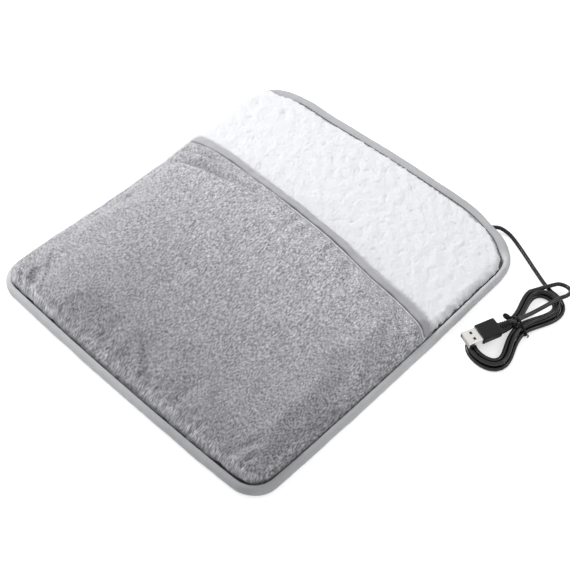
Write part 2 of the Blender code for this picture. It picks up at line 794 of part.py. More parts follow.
def make_tie():
    """A twist tie round the waist of the hank, with its twisted knot at the side."""
    plastic = finish("tie_plastic", (0.02, 0.02, 0.02), 0.45)
    layer_one = ground_level + tie_lift
    layer_two = layer_one + strand_pitch
    layer_three = layer_two + strand_pitch
    right = waist_half_gap + strand_pitch * math.hypot(hank_reverse_turn - 0.25, reversal_softness)
    left = -waist_half_gap - strand_pitch * math.hypot(hank_reverse_turn - 0.75, reversal_softness)
    centres = [(right, layer_one), (left, layer_one), (left, layer_two), (right - strand_pitch, layer_two),
               (tail_side - 2 * tail_slack, layer_three + tail_slack / 4), (tail_side + tail_slack, layer_three)]
    touch = cord_diameter / 2 + seam_gap
    inner, outer = wrap(centres, touch), wrap(centres, touch + tie_thickness)
    frame = hank_matrix()
    vertices = []
    for outline in (inner, outer):
        for side in (-tie_width / 2, tie_width / 2):
            vertices += [frame @ Vector((x, side, z)) for x, z in outline]
    count = len(inner)
    faces = []
    for i in range(count):
        j = (i + 1) % count
        for a, b in ((0, 1), (1, 3), (3, 2), (2, 0)):
            faces.append((a * count + i, a * count + j, b * count + j, b * count + i))
    tie = add_mesh("cord_tie", vertices, faces, plastic)
    seat = Vector((left - touch - tie_thickness / 2, 0, layer_two))
    knot = rod_mesh("tie_knot", frame @ seat, frame @ (seat - Vector((tie_knot_size, 0, 0))),
                    tie_knot_size, plastic, 10)
    change(tie, "UNION", knot)


def make_plug():
    """The USB plug, in its own frame: +Y back along the lead, its opening towards -Y."""
    rubber = finish("plug_rubber", (0.02, 0.02, 0.02), 0.4)
    steel = finish("plug_shell", (0.80, 0.79, 0.76), 0.25, 1.0)
    plastic = finish("plug_tongue", (0.75, 0.75, 0.75), 0.5)
    gold = finish("plug_contacts", (0.85, 0.62, 0.25), 0.3, 1.0)
    holder = add_holder("plug_frame", (*plug_place, plug_level), plug_turn)
    front = -overmould_length / 2
    half = Vector((overmould_width, overmould_length, overmould_height)) / 2
    body = add_box("usb_overmould", -half, half, rubber, holder)
    add_edge(body, overmould_edge)
    seat_half = Vector((shell_width, 0, shell_height)) / 2 + Vector((seam_gap, 0, seam_gap))
    seat = add_box("shell_seat", (-seat_half.x, front - cut_overrun, -seat_half.z),
                   (seat_half.x, front + shell_root, seat_half.z), rubber, holder)
    change(body, "DIFFERENCE", seat)

    shell_front = front - shell_reach
    shell_back = front + shell_root - seam_gap
    shell_half = Vector((shell_width, 0, shell_height)) / 2
    shell = add_box("usb_shell", (-shell_half.x, shell_front, -shell_half.z),
                    (shell_half.x, shell_back, shell_half.z), steel, holder)
    hollow_half = shell_half - Vector((shell_wall, 0, shell_wall))
    hollow = add_box("shell_hollow", (-hollow_half.x, shell_front - cut_overrun, -hollow_half.z),
                     (hollow_half.x, shell_back + cut_overrun, hollow_half.z), steel, holder)
    change(shell, "DIFFERENCE", hollow)
    for side in (-1, 1):
        centre = side * shell_hole_spacing / 2
        hole = add_box(f"shell_hole_{side}", (centre - shell_hole_width / 2, shell_front + shell_hole_setback,
                                              -cut_overrun),
                       (centre + shell_hole_width / 2,
                        shell_front + shell_hole_setback + shell_hole_length, cut_overrun), steel, holder)
        change(shell, "DIFFERENCE", hole)

    tongue_bottom = -hollow_half.z + seam_gap
    tongue_top = tongue_bottom + tongue_thickness
    tongue_half = hollow_half.x - seam_gap
    add_box("usb_tongue", (-tongue_half, shell_front + tongue_setback, tongue_bottom),
            (tongue_half, shell_back, tongue_top), plastic, holder)
    contact_front = shell_front + 2 * tongue_setback
    for number, place in enumerate(contact_places, 1):
        add_box(f"usb_contact_{number}",
                (place - contact_width / 2, contact_front, tongue_top + seam_gap),
                (place + contact_width / 2, contact_front + contact_length,
                 tongue_top + seam_gap + contact_thickness), gold, holder)
    make_strain_relief(rubber, holder)


def make_strain_relief(rubber, holder):
    """A tapered round sleeve between the plug's body and the lead."""
    start = overmould_length / 2 + seam_gap
    sides = 14
    vertices = []
    for y, diameter in ((start, relief_wide), (start + relief_length, relief_narrow)):
        for index in range(sides):
            angle = 2 * math.pi * index / sides
            vertices.append((math.cos(angle) * diameter / 2, y, math.sin(angle) * diameter / 2))
    faces = [tuple(range(sides)), tuple(range(sides, 2 * sides))]
    faces += [(i, (i + 1) % sides, (i + 1) % sides + sides, i + sides) for i in range(sides)]
    relief = add_mesh("usb_strain_relief", vertices, faces, rubber)
    relief.parent = holder


def main():
    clear_scene()
    helper = finish("helper", (0.5, 0.5, 0.5), 0.5)
    recess = add_box("joint_recess", (recess_left, recess_front, recess_floor),
                     (recess_right, mat_length / 2 + cut_overrun, carrier_top + cut_overrun), helper)
    outlet, way_out = exit_place()
    bore = rod_mesh("gland_bore", outlet - way_out * (2 * cut_overrun), outlet + way_out * cut_overrun,
                    gland_diameter + 2 * seam_gap, helper)
    make_mat_layers(recess)
    make_binding(bore)
    hinge = add_holder("pocket_hinge", (0.0, seam_inset - mat_length / 2, seam_level))
    make_pocket(hinge)
    make_electrics()
    make_gland()
    make_cord()
    make_tie()
    make_plug()
    print("pocket hinge", tuple(round(value, 5) for value in hinge.location))


main()
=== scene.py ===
"""Looks of an electric foot warmer, built round its packed solid model.

Metres, +Z up, origin at the bottom centre of the mat. +Y points to the open heel end,
where the lead leaves, and -Y to the closed toe end of the foot pocket.
"""

import itertools
import json
import math

import bmesh
import bpy
import numpy as np
from bpy.props import FloatProperty, FloatVectorProperty, IntProperty, PointerProperty
from mathutils import Matrix, Vector

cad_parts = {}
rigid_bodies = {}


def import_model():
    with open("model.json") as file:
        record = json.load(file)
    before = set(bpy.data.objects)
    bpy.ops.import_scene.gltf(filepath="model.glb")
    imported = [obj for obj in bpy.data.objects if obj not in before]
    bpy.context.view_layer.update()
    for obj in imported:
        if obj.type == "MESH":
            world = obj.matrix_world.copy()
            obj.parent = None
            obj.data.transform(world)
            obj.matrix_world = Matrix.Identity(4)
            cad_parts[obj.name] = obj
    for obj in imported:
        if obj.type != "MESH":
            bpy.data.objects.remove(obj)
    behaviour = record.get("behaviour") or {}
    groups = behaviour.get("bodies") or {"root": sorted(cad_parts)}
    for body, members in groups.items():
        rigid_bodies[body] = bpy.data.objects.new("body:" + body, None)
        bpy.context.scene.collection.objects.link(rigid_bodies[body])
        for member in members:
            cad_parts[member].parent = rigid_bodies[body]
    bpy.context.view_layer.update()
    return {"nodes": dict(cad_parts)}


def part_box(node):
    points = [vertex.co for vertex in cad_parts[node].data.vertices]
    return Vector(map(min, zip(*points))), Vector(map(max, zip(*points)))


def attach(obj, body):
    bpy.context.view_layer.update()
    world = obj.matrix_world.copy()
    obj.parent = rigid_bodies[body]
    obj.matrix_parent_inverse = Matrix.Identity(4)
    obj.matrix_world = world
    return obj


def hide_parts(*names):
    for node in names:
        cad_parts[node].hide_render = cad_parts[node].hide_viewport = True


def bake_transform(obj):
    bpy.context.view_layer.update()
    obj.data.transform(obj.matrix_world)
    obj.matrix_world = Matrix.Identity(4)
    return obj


bl_info = {
    "name": "Foot warmer looks",
    "version": (1, 0, 0),
    "blender": (4, 5, 0),
    "location": "3D View > Sidebar > Foot warmer",
    "description": "Builds the cloth, pile, lead and plug of a heated foot warmer",
    "category": "Object",
}

for start_item in list(bpy.data.objects):
    bpy.data.objects.remove(start_item)

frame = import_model()
mat_low, mat_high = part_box("edge_binding")
bed_low, bed_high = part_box("base_sherpa_lining")
cover_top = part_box("pocket_outer_cover")[1].z
lining_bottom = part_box("pocket_sherpa_lining")[0].z

millimetre = 0.001
hair = 0.0001
rim_dip = 0.0022
rim_dip_reach = 0.008


class StageSettings(bpy.types.PropertyGroup):
    """The camera, the floor and the lamps."""

    azimuth: FloatProperty(name="Azimuth", description="Camera's turn round the mat from -Y",
                           default=math.radians(42.59), subtype="ANGLE")
    elevation: FloatProperty(name="Elevation", description="Camera's height above the horizon",
                             default=math.radians(51.84), subtype="ANGLE")
    roll: FloatProperty(name="Roll", description="Camera's tilt about its own view",
                        default=math.radians(1.12), subtype="ANGLE")
    distance: FloatProperty(name="Distance", description="From the camera to its target",
                            default=0.8749, unit="LENGTH")
    target: FloatVectorProperty(name="Target", description="Place in the middle of the view",
                                default=(0.0223, -0.0063, 0.005), subtype="TRANSLATION")
    lens: FloatProperty(name="Lens", description="Focal length in millimetres on a 36 mm sensor",
                        default=73.77)
    floor_size: FloatProperty(name="Floor", description="Width of the floor", default=12.0, unit="LENGTH")
    floor_colour: FloatVectorProperty(name="Floor colour", description="Colour of the floor",
                                      default=(0.92, 0.92, 0.925), subtype="COLOR")
    floor_glow: FloatProperty(name="Floor glow", description="Light added to the floor for the camera alone",
                              default=0.55)
    sky: FloatProperty(name="Sky", description="Strength of the light from all round", default=0.55)
    key: FloatProperty(name="Key", description="Power of the main lamp in watts", default=7.3)
    fill: FloatProperty(name="Fill", description="Power of the fill lamp in watts", default=3.0)
    back: FloatProperty(name="Back", description="Power of the lamp behind the heel in watts", default=1.2)


class MatSettings(bpy.types.PropertyGroup):
    """Outline, binding and foot bed of the mat."""

    width: FloatProperty(name="Width", description="Width over the side edges",
                         default=mat_high.x - mat_low.x, unit="LENGTH")
    length: FloatProperty(name="Length", description="Length over the end edges",
                          default=mat_high.y - mat_low.y, unit="LENGTH")
    toe_radius: FloatProperty(name="Toe radius", description="Corner radius at the toe end",
                              default=0.020, unit="LENGTH")
    heel_radius: FloatProperty(name="Heel radius", description="Corner radius at the heel end",
                               default=0.049, unit="LENGTH")
    side_bow: FloatProperty(name="Side bow", description="How far the side edges bulge",
                            default=0.0022, unit="LENGTH")
    end_bow: FloatProperty(name="End bow", description="How far the end edges bulge",
                           default=0.0026, unit="LENGTH")
    roll_width: FloatProperty(name="Binding width", description="Width of the rolled binding",
                              default=0.012, unit="LENGTH")
    roll_height: FloatProperty(name="Binding height", description="Height of the rolled binding",
                               default=0.0100, unit="LENGTH")
    near_seam: FloatProperty(name="Near seam", description="Seam's distance from the edge beside the pocket",
                             default=0.0058, unit="LENGTH")
    heel_hem: FloatProperty(name="Heel hem", description="Tape that shows past the stitches at the heel",
                            default=0.0022, unit="LENGTH")
    seam_drop: FloatProperty(name="Seam drop", description="How far the tape is drawn down at its seam",
                             default=0.0020, unit="LENGTH")
    pile: FloatProperty(name="Pile", description="Length of the fleece's curls",
                        default=0.0034, unit="LENGTH")
    pile_step: FloatProperty(name="Pile step", description="Spacing of the fleece mesh",
                             default=0.00065, unit="LENGTH")
    curl: FloatProperty(name="Curl", description="Width of one clump of curls",
                        default=0.0085, unit="LENGTH")
    stitch: FloatProperty(name="Stitch", description="Length of one stitch of the binding seam",
                          default=0.0031, unit="LENGTH")
    roll_colour: FloatVectorProperty(name="Binding colour", description="Colour of the binding tape",
                                     default=(0.50, 0.505, 0.52), subtype="COLOR")
    pile_colour: FloatVectorProperty(name="Fleece colour", description="Colour of the fleece",
                                     default=(0.87, 0.875, 0.90), subtype="COLOR")
    back_colour: FloatVectorProperty(name="Back colour", description="Colour of the underside cloth",
                                     default=(0.10, 0.10, 0.11), subtype="COLOR")
    # The thread's dark colour also stands in for the shadow line at the seam
    thread_and_seam_shadow_colour: FloatVectorProperty(name="Thread colour", description="Colour of the seam thread",
                                       default=(0.12, 0.12, 0.13), subtype="COLOR")


class PocketSettings(bpy.types.PropertyGroup):
    """The plush foot pocket and the band along its mouth."""

    mouth: FloatProperty(name="Mouth", description="Place of the mouth's seam along the mat",
                         default=0.0353, unit="LENGTH")
    mouth_skew: FloatProperty(name="Mouth skew", description="How far the mouth's seam runs askew",
                              default=-0.0085, unit="LENGTH")
    cavity: FloatProperty(name="Foot space", description="Height of the foot space at the mouth",
                          default=0.0095, unit="LENGTH")
    shoulder: FloatProperty(name="Shoulder", description="Width of the rounded edge beside the seam",
                            default=0.0100, unit="LENGTH")
    pressure: FloatProperty(name="Pressure", description="Pressure of the filling as the pad swells",
                            default=2.0)
    slack: FloatProperty(name="Slack", description="How much longer the cloth is than the pad's first shape",
                         default=0.02, subtype="FACTOR")
    swell_limit: FloatProperty(name="Swelling", description="The most that a place of the pad may move",
                               default=0.0060, unit="LENGTH")
    nap: FloatProperty(name="Nap", description="Height of the plush nap's tufts",
                       default=0.00075, unit="LENGTH")
    nap_step: FloatProperty(name="Nap step", description="Spacing of the plush mesh",
                            default=0.00052, unit="LENGTH")
    band_width: FloatProperty(name="Band width", description="Width of the band at the mouth",
                              default=0.0149, unit="LENGTH")
    colour: FloatVectorProperty(name="Plush colour", description="Colour of the plush",
                                default=(0.735, 0.728, 0.770), subtype="COLOR")
    band_colour: FloatVectorProperty(name="Band colour", description="Colour of the band",
                                     default=(0.455, 0.455, 0.475), subtype="COLOR")


class LeadSettings(bpy.types.PropertyGroup):
    """The lead, its tied hank and its plug."""

    diameter: FloatProperty(name="Diameter", description="Diameter of the lead",
                            default=0.0032, unit="LENGTH")
    strand_gap: FloatProperty(name="Strand gap", description="Gap between strands of the hank",
                              default=0.0006, unit="LENGTH")
    side_gap: FloatProperty(name="Side gap", description="Gap between strands that lie side by side",
                            default=0.00008, unit="LENGTH")
    floor_gap: FloatProperty(name="Floor gap", description="Clearance of the lead to the floor",
                             default=0.00005, unit="LENGTH")
    exit_angle: FloatProperty(name="Exit angle", description="Where the lead leaves the rounded corner",
                              default=math.radians(19), subtype="ANGLE")
    exit_slant: FloatProperty(name="Exit slant", description="Slant of the lead as it leaves the binding",
                              default=math.radians(33), subtype="ANGLE")
    exit_level: FloatProperty(name="Exit level", description="Height at which the lead leaves",
                              default=0.0045, unit="LENGTH")
    exit_depth: FloatProperty(name="Exit depth", description="How deep the lead enters the binding",
                              default=0.0050, unit="LENGTH")
    hank_place: FloatVectorProperty(name="Hank place", description="Middle of the tied hank",
                                    default=(0.170, 0.084, 0.0), subtype="TRANSLATION")
    hank_turn: FloatProperty(name="Hank turn", description="Turn of the hank on the floor",
                             default=math.radians(-3.5), subtype="ANGLE")
    turns: FloatProperty(name="Turns", description="Turns of the hank", default=3.9)
    reverse_turn: FloatProperty(name="Reversal", description="Turn at which the loops grow again",
                                default=2.25)
    turn_points: IntProperty(name="Points", description="Points in each turn", default=60)
    loop_reach: FloatProperty(name="Loop reach", description="Half length of the innermost loop",
                              default=0.0383, unit="LENGTH")
    lower_lobe: FloatProperty(name="Lower lobe", description="Half width of the innermost lower loop",
                              default=0.0101, unit="LENGTH")
    upper_lobe: FloatProperty(name="Upper lobe", description="Half width of the innermost upper loop",
                              default=0.0073, unit="LENGTH")
    waist: FloatProperty(name="Waist", description="Half gap between the strands at the tie",
                         default=0.0009, unit="LENGTH")
    tie_width: FloatProperty(name="Tie width", description="Width of the twist tie",
                             default=0.0018, unit="LENGTH")
    tie_thickness: FloatProperty(name="Tie thickness", description="Thickness of the twist tie",
                                 default=0.0007, unit="LENGTH")
    plug_place: FloatVectorProperty(name="Plug place", description="Middle of the plug's body",
                                    default=(0.1602, 0.0614, 0.0), subtype="TRANSLATION")
    plug_turn: FloatProperty(name="Plug turn", description="Turn of the plug on the hank",
                             default=math.radians(-20), subtype="ANGLE")
    colour: FloatVectorProperty(name="Lead colour", description="Colour of the lead's jacket",
                                default=(0.008, 0.008, 0.010), subtype="COLOR")
    plug_colour: FloatVectorProperty(name="Plug colour", description="Colour of the plug's body",
                                     default=(0.010, 0.010, 0.011), subtype="COLOR")
    shell_colour: FloatVectorProperty(name="Shell colour", description="Colour of the plug's shell",
                                      default=(0.80, 0.79, 0.76), subtype="COLOR")


def scramble(cells, seed):
    """A number from 0 to 255 for each whole-numbered cell."""
    mixed = cells @ np.array((73856093, 19349663, 83492791), dtype=np.int64) + seed * 2654435761
    mixed = (mixed ^ (mixed >> 13)) * 1274126177
    return (mixed ^ (mixed >> 16)) & 255


directions = np.random.default_rng(7).normal(size=(256, 3))
directions /= np.linalg.norm(directions, axis=1)[:, None]


def noise(x, y, z, size, seed):
    """Smooth noise from about -1 to 1 whose bumps are `size` across; size may be three sizes."""
    points = np.stack(np.broadcast_arrays(x, y, z), axis=-1).reshape(-1, 3) / size
    cell = np.floor(points).astype(np.int64)
    part = points - cell
    ease = part ** 3 * (part * (part * 6 - 15) + 10)
    total = np.zeros(len(points))
    for corner in itertools.product((0, 1), repeat=3):
        slope = directions[scramble(cell + np.array(corner), seed)]
        weight = np.prod(np.where(corner, ease, 1 - ease), axis=1)
        total += weight * np.einsum("ij,ij->i", slope, part - corner)
    return (total * 1.7).reshape(np.broadcast(x, y, z).shape)


def noises(x, y, z, *layers):
    """The sum of several noises, each given as (height, size, seed)."""
    return sum(height * noise(x, y, z, size, seed) for height, size, seed in layers)


def ease_in(value):
    """0 below 0, 1 above 1, smooth between."""
    value = np.clip(value, 0.0, 1.0)
    return value * value * (3 - 2 * value)


def hump(distance, width):
    """1 at no distance, falling smoothly to 0 within about two widths to either side."""
    return np.exp(-(distance / width) ** 2)


def half_width(mat, y):
    """Half the mat's width at a place along it, over its bowed side."""
    return mat.width / 2 - mat.side_bow * (y / (mat.length / 2)) ** 2


def half_length(mat, x):
    """Half the mat's length at a place across it, over its bowed end."""
    return mat.length / 2 - mat.end_bow * (x / (mat.width / 2)) ** 2


def edge_distance(mat, x, y, side_inset=0.0, end_inset=0.0):
    """How far inside the mat's outline, or inside a line set in from it, a place lies."""
    across = half_width(mat, y) - np.abs(x) - side_inset
    along = half_length(mat, x) - np.abs(y) - end_inset
    radius = np.where(y < 0, mat.toe_radius, mat.heel_radius) - end_inset
    corner = radius - np.hypot(radius - across, radius - along)
    return np.where((across < radius) & (along < radius), corner, np.minimum(across, along))


def corner_pull(radius, depth):
    """How far a rounded corner draws the side in, at a depth from the end."""
    rounding = radius - np.sqrt(np.maximum(radius ** 2 - (radius - depth) ** 2, 0))
    return np.where(depth < radius, rounding, 0)


def outline(mat, spacing):
    """Evenly spaced places round the mat's edge, with the directions that point outwards."""
    places = []
    for sign_x, sign_y, start in ((1, 1, 0), (-1, 1, 90), (-1, -1, 180), (1, -1, 270)):
        radius = mat.heel_radius if sign_y > 0 else mat.toe_radius
        for step in range(25):
            angle = math.radians(start + 90 * step / 24)
            places.append((sign_x * (mat.width / 2 - radius) + radius * math.cos(angle),
                           sign_y * (mat.length / 2 - radius) + radius * math.sin(angle)))
    places = np.array(places + places[:1])
    runs = [np.linspace(here, there, 40, endpoint=False) for here, there in zip(places, places[1:])]
    dense = np.concatenate(runs + [places[:1]])
    x = dense[:, 0] - np.sign(dense[:, 0]) * mat.side_bow * (dense[:, 1] / (mat.length / 2)) ** 2
    y = dense[:, 1] - np.sign(dense[:, 1]) * mat.end_bow * (dense[:, 0] / (mat.width / 2)) ** 2
    travelled = np.concatenate(([0.0], np.cumsum(np.hypot(np.diff(x), np.diff(y)))))
    count = round(travelled[-1] / spacing)
    along = np.linspace(0, travelled[-1], count, endpoint=False)
    places = np.stack((np.interp(along, travelled, x), np.interp(along, travelled, y)), axis=1)
    reach = max(1, round(2 * millimetre / spacing))
    way = np.roll(places, -reach, axis=0) - np.roll(places, reach, axis=0)
    way /= np.linalg.norm(way, axis=1)[:, None]
    return places, np.stack((way[:, 1], -way[:, 0]), axis=1), along


def seam_inset(mat):
    """How far inside the edge the layers end."""
    return mat.roll_width - 5 * hair


def tape_inset(mat, x, y):
    """How far inside the edge the tape's own seam shows: narrow but along the heel."""
    left_heel = ease_in((x + 0.127) / 0.010) * (y > 0)
    right_heel = ease_in((y - 0.42 * mat.length + 0.06 * x) / 0.012)
    heel = np.where(x < 0, left_heel, right_heel)
    return mat.near_seam + heel * (seam_inset(mat) - 4 * hair - mat.near_seam)


def stitch_inset(mat, x, y):
    """How far inside the edge the tape is stitched: at the heel a hem of tape shows past the stitches."""
    seam = tape_inset(mat, x, y)
    return seam - mat.heel_hem * (seam - mat.near_seam) / (seam_inset(mat) - 4 * hair - mat.near_seam)


# Places and reach as shares of the half sizes, then how far the rim moves across and along, in mm.
sewn_pulls = (
    (-1.00, 0.00, 1.20, -1.0, 0.0),
    (-1.00, -0.10, 0.40, 3.0, 0.0),
    (-0.98, -0.80, 0.32, -1.6, 0.0),
    (-0.92, 0.90, 0.20, -7.0, 4.5),
    (-0.60, 1.00, 0.40, 0.0, -3.0),
    (0.20, 1.00, 0.60, 0.0, -1.0),
    (0.72, 0.98, 0.13, -2.0, -3.6),
    (0.95, 0.80, 0.09, 1.5, 0.8),
    (0.96, -0.96, 0.14, -0.8, 0.8),
)


def settle(mat, x, y):
    """The mat as it lies: left side drawn in, left heel corner squarer, rim tucked in at the lead."""
    half_x, half_y = mat.width / 2, mat.length / 2
    for place_x, place_y, reach, move_x, move_y in sewn_pulls:
        near = np.exp(-((x / half_x - place_x) ** 2 + (y / half_y - place_y) ** 2) / reach ** 2)
        x, y = x + near * move_x * millimetre, y + near * move_y * millimetre
    return x, y


def roll_level(mat, inset, seam):
    """Height of the binding's top at a distance from the edge, drawn down towards its seam."""
    radius = mat.roll_height / 2
    inside = np.clip(radius - inset, 0.0, radius)
    share = np.clip((inset - radius) / np.maximum(seam - radius, hair), 0, 1)
    return radius + np.sqrt(np.maximum(radius ** 2 - inside ** 2, 0.0)) - mat.seam_drop * share ** 2


def new_piece(name, vertices, faces, material, smooth=True):
    """A mesh object from world places."""
    mesh = bpy.data.meshes.new(name)
    mesh.from_pydata(vertices, [], faces)
    mesh.validate()
    shape = bmesh.new()
    shape.from_mesh(mesh)
    bmesh.ops.recalc_face_normals(shape, faces=shape.faces)
    shape.to_mesh(mesh)
    shape.free()
    piece = bpy.data.objects.new(name, mesh)
    mesh.materials.append(material)
    bpy.context.scene.collection.objects.link(piece)
    if smooth:
        mesh.shade_smooth()
    return piece


def add_value(piece, name, values):
    """A value for each vertex that the material can read; vertices past the list get its mean."""
    attribute = piece.data.attributes.new(name, "FLOAT", "POINT")
    filled = np.full(len(piece.data.vertices), float(np.mean(values)), dtype=np.float32)
    filled[:len(values)] = values
    attribute.data.foreach_set("value", filled)


coarse = 4


def closed_cloth(name, top, underside, material):
    """A closed cloth: a fine top grid, and every fourth of its points again as the underside."""
    rows, columns = top.shape[:2]
    under_rows, under_columns = underside.shape[:2]
    vertices = np.concatenate((top.reshape(-1, 3), underside.reshape(-1, 3)))

    def upper(row, column):
        return row * columns + column

    def lower(row, column):
        return rows * columns + row * under_columns + column

    corner = (np.arange(rows - 1)[:, None] * columns + np.arange(columns - 1)).ravel()
    faces = np.stack((corner, corner + 1, corner + 1 + columns, corner + columns), axis=1).tolist()
    corner = rows * columns + (np.arange(under_rows - 1)[:, None] * under_columns
                               + np.arange(under_columns - 1)).ravel()
    faces += np.stack((corner + under_columns, corner + under_columns + 1, corner + 1, corner),
                      axis=1).tolist()
    rim = [(upper(0, c), lower(0, c // coarse) if c % coarse == 0 else None) for c in range(columns - 1)]
    rim += [(upper(r, columns - 1), lower(r // coarse, under_columns - 1) if r % coarse == 0 else None)
            for r in range(rows - 1)]
    rim += [(upper(rows - 1, c), lower(under_rows - 1, c // coarse) if c % coarse == 0 else None)
            for c in range(columns - 1, 0, -1)]
    rim += [(upper(r, 0), lower(r // coarse, 0) if r % coarse == 0 else None)
            for r in range(rows - 1, 0, -1)]
    for start in range(0, len(rim), coarse):
        fine = [rim[(start + step) % len(rim)][0] for step in range(coarse + 1)]
        here = rim[start][1]
        there = rim[(start + coarse) % len(rim)][1]
        half = coarse // 2
        faces += [(fine[step + 1], fine[step], here) for step in range(half)]
        faces.append((fine[half], here, there))
        faces += [(fine[step + 1], fine[step], there) for step in range(half, coarse)]
    return new_piece(name, vertices.tolist(), faces, material)


def whole_steps(span, step):
    """How many grid steps fit a span, as a multiple of the underside's."""
    return max(1, round(span / step / coarse)) * coarse


def add_ring(name, loops, material):
    """A closed ring of quads through loops of equal length; the last loop joins the first."""
    count = loops.shape[1]
    here = np.arange(loops.shape[0])[:, None] * count
    there = (np.arange(1, loops.shape[0] + 1)[:, None] % loops.shape[0]) * count
    i = np.arange(count)[None, :]
    j = (np.arange(count)[None, :] + 1) % count
    faces = np.stack(np.broadcast_arrays(here + i, here + j, there + j, there + i), axis=-1)
    return new_piece(name, loops.reshape(-1, 3).tolist(), faces.reshape(-1, 4).tolist(), material)


def tube_faces(first, rings, sides):
    """Faces of a closed tube whose rings of points start at `first`, with a flat cap at both ends."""
    last = first + (rings - 1) * sides
    faces = [tuple(first + index for index in reversed(range(sides))),
             tuple(last + index for index in range(sides))]
    for low in range(first, last, sides):
        for index in range(sides):
            following = (index + 1) % sides
            high = low + sides
            faces.append((low + index, low + following, high + following, high + index))
    return faces


def add_sweep(name, rings, material):
    """A closed solid through rings of points, with a flat cap at both ends."""
    vertices = [tuple(point) for ring in rings for point in ring]
    faces = tube_faces(0, len(rings), len(rings[0]))
    return new_piece(name, vertices, faces, material)


def add_capsules(name, starts, ends, diameter, material):
    """Many short rounded stitches as one mesh of closed bodies."""
    vertices, faces = [], []
    sides = 6
    shares = ((0.0, 0.35), (0.12, 0.8), (0.5, 1.0), (0.88, 0.8), (1.0, 0.35))
    for start, end in zip(starts, ends):
        start, end = Vector(start), Vector(end)
        way = (end - start).normalized()
        side = way.cross(Vector((0, 0, 1))).normalized()
        rise = side.cross(way)
        base = len(vertices)
        for along, wide in shares:
            middle = start.lerp(end, along)
            for index in range(sides):
                turn = 2 * math.pi * index / sides
                out = side * math.cos(turn) + rise * math.sin(turn)
                vertices.append(middle + out * diameter / 2 * wide)
        faces += tube_faces(base, len(shares), sides)
    return new_piece(name, vertices, faces, material)


class Finish:
    """A material being built: its nodes, with the shader's plain values set on its sockets."""

    def __init__(self, name, roughness, **values):
        self.material = bpy.data.materials.new(name)
        self.material.use_nodes = True
        self.nodes = self.material.node_tree.nodes
        self.links = self.material.node_tree.links
        self.shader = self.nodes["Principled BSDF"]
        self.shader.inputs["Roughness"].default_value = roughness
        for socket, value in values.items():
            self.shader.inputs[socket.replace("_", " ")].default_value = value
        self.place = self.nodes.new("ShaderNodeTexCoord").outputs["Object"]

    def grain(self, size, detail=3.0, stretch=(1.0, 1.0, 1.0), turn=0.0):
        """Noise from 0 to 1 whose spots are `size` metres across, stretched along an axis."""
        mapping = self.nodes.new("ShaderNodeMapping")
        mapping.inputs["Rotation"].default_value = (0.0, 0.0, turn)
        mapping.inputs["Scale"].default_value = [1.0 / (size * share) for share in stretch]
        self.links.new(self.place, mapping.inputs["Vector"])
        texture = self.nodes.new("ShaderNodeTexNoise")
        texture.inputs["Scale"].default_value = 1.0
        texture.inputs["Detail"].default_value = detail
        self.links.new(mapping.outputs["Vector"], texture.inputs["Vector"])
        return texture.outputs["Fac"]

    def value(self, name):
        """A value that the mesh carries."""
        reader = self.nodes.new("ShaderNodeAttribute")
        reader.attribute_name = name
        return reader.outputs["Fac"]

    def grey(self, source):
        """A value as a grey colour, which may pass 1."""
        combine = self.nodes.new("ShaderNodeCombineColor")
        for socket in combine.inputs[:3]:
            self.links.new(source, socket)
        return combine.outputs["Color"]

    def ramp(self, source, *stops):
        """Maps a value to colours or greys through (position, colour) stops."""
        ramp = self.nodes.new("ShaderNodeValToRGB")
        elements = ramp.color_ramp.elements
        while len(elements) < len(stops):
            elements.new(0.5)
        for element, (position, colour) in zip(elements, stops):
            element.position = position
            element.color = (*colour, 1.0) if hasattr(colour, "__len__") else (colour, colour, colour, 1.0)
        self.links.new(source, ramp.inputs["Fac"])
        return ramp.outputs["Color"]

    def mix(self, first, second, kind="MULTIPLY"):
        """Mixes two colours in full strength."""
        mix = self.nodes.new("ShaderNodeMix")
        mix.data_type = "RGBA"
        mix.blend_type = kind
        sockets = [socket for socket in mix.inputs if socket.type == "RGBA"]
        self.links.new(first, sockets[0])
        self.links.new(second, sockets[1])
        mix.inputs["Factor"].default_value = 1.0
        return next(socket for socket in mix.outputs if socket.type == "RGBA")

    def weave(self, size):
        """Threads over and under: the sum of two crossed sets of waves."""
        total = self.nodes.new("ShaderNodeMath")
        for socket, angle in zip(total.inputs, (0.0, math.pi / 2)):
            mapping = self.nodes.new("ShaderNodeMapping")
            mapping.inputs["Rotation"].default_value = (0.0, 0.0, angle)
            self.links.new(self.place, mapping.inputs["Vector"])
            texture = self.nodes.new("ShaderNodeTexWave")
            texture.inputs["Scale"].default_value = math.pi / 10 / size
            texture.inputs["Distortion"].default_value = 0.4
            self.links.new(mapping.outputs["Vector"], texture.inputs["Vector"])
            self.links.new(texture.outputs["Fac"], socket)
        return total.outputs["Value"]

    def colour(self, source):
        self.links.new(source, self.shader.inputs["Base Color"])

    def roughness(self, source, low, high):
        self.links.new(self.ramp(source, (0.3, low), (0.7, high)), self.shader.inputs["Roughness"])

    def bump(self, source, distance, strength=1.0):
        bump = self.nodes.new("ShaderNodeBump")
        bump.inputs["Distance"].default_value = distance
        bump.inputs["Strength"].default_value = strength
        self.links.new(source, bump.inputs["Height"])
        if self.shader.inputs["Normal"].links:
            self.links.new(self.shader.inputs["Normal"].links[0].from_socket, bump.inputs["Normal"])
        self.links.new(bump.outputs["Normal"], self.shader.inputs["Normal"])


def shade(colour, factor):
    """A colour made lighter or darker."""
    return tuple(min(1.0, part * factor) for part in colour)


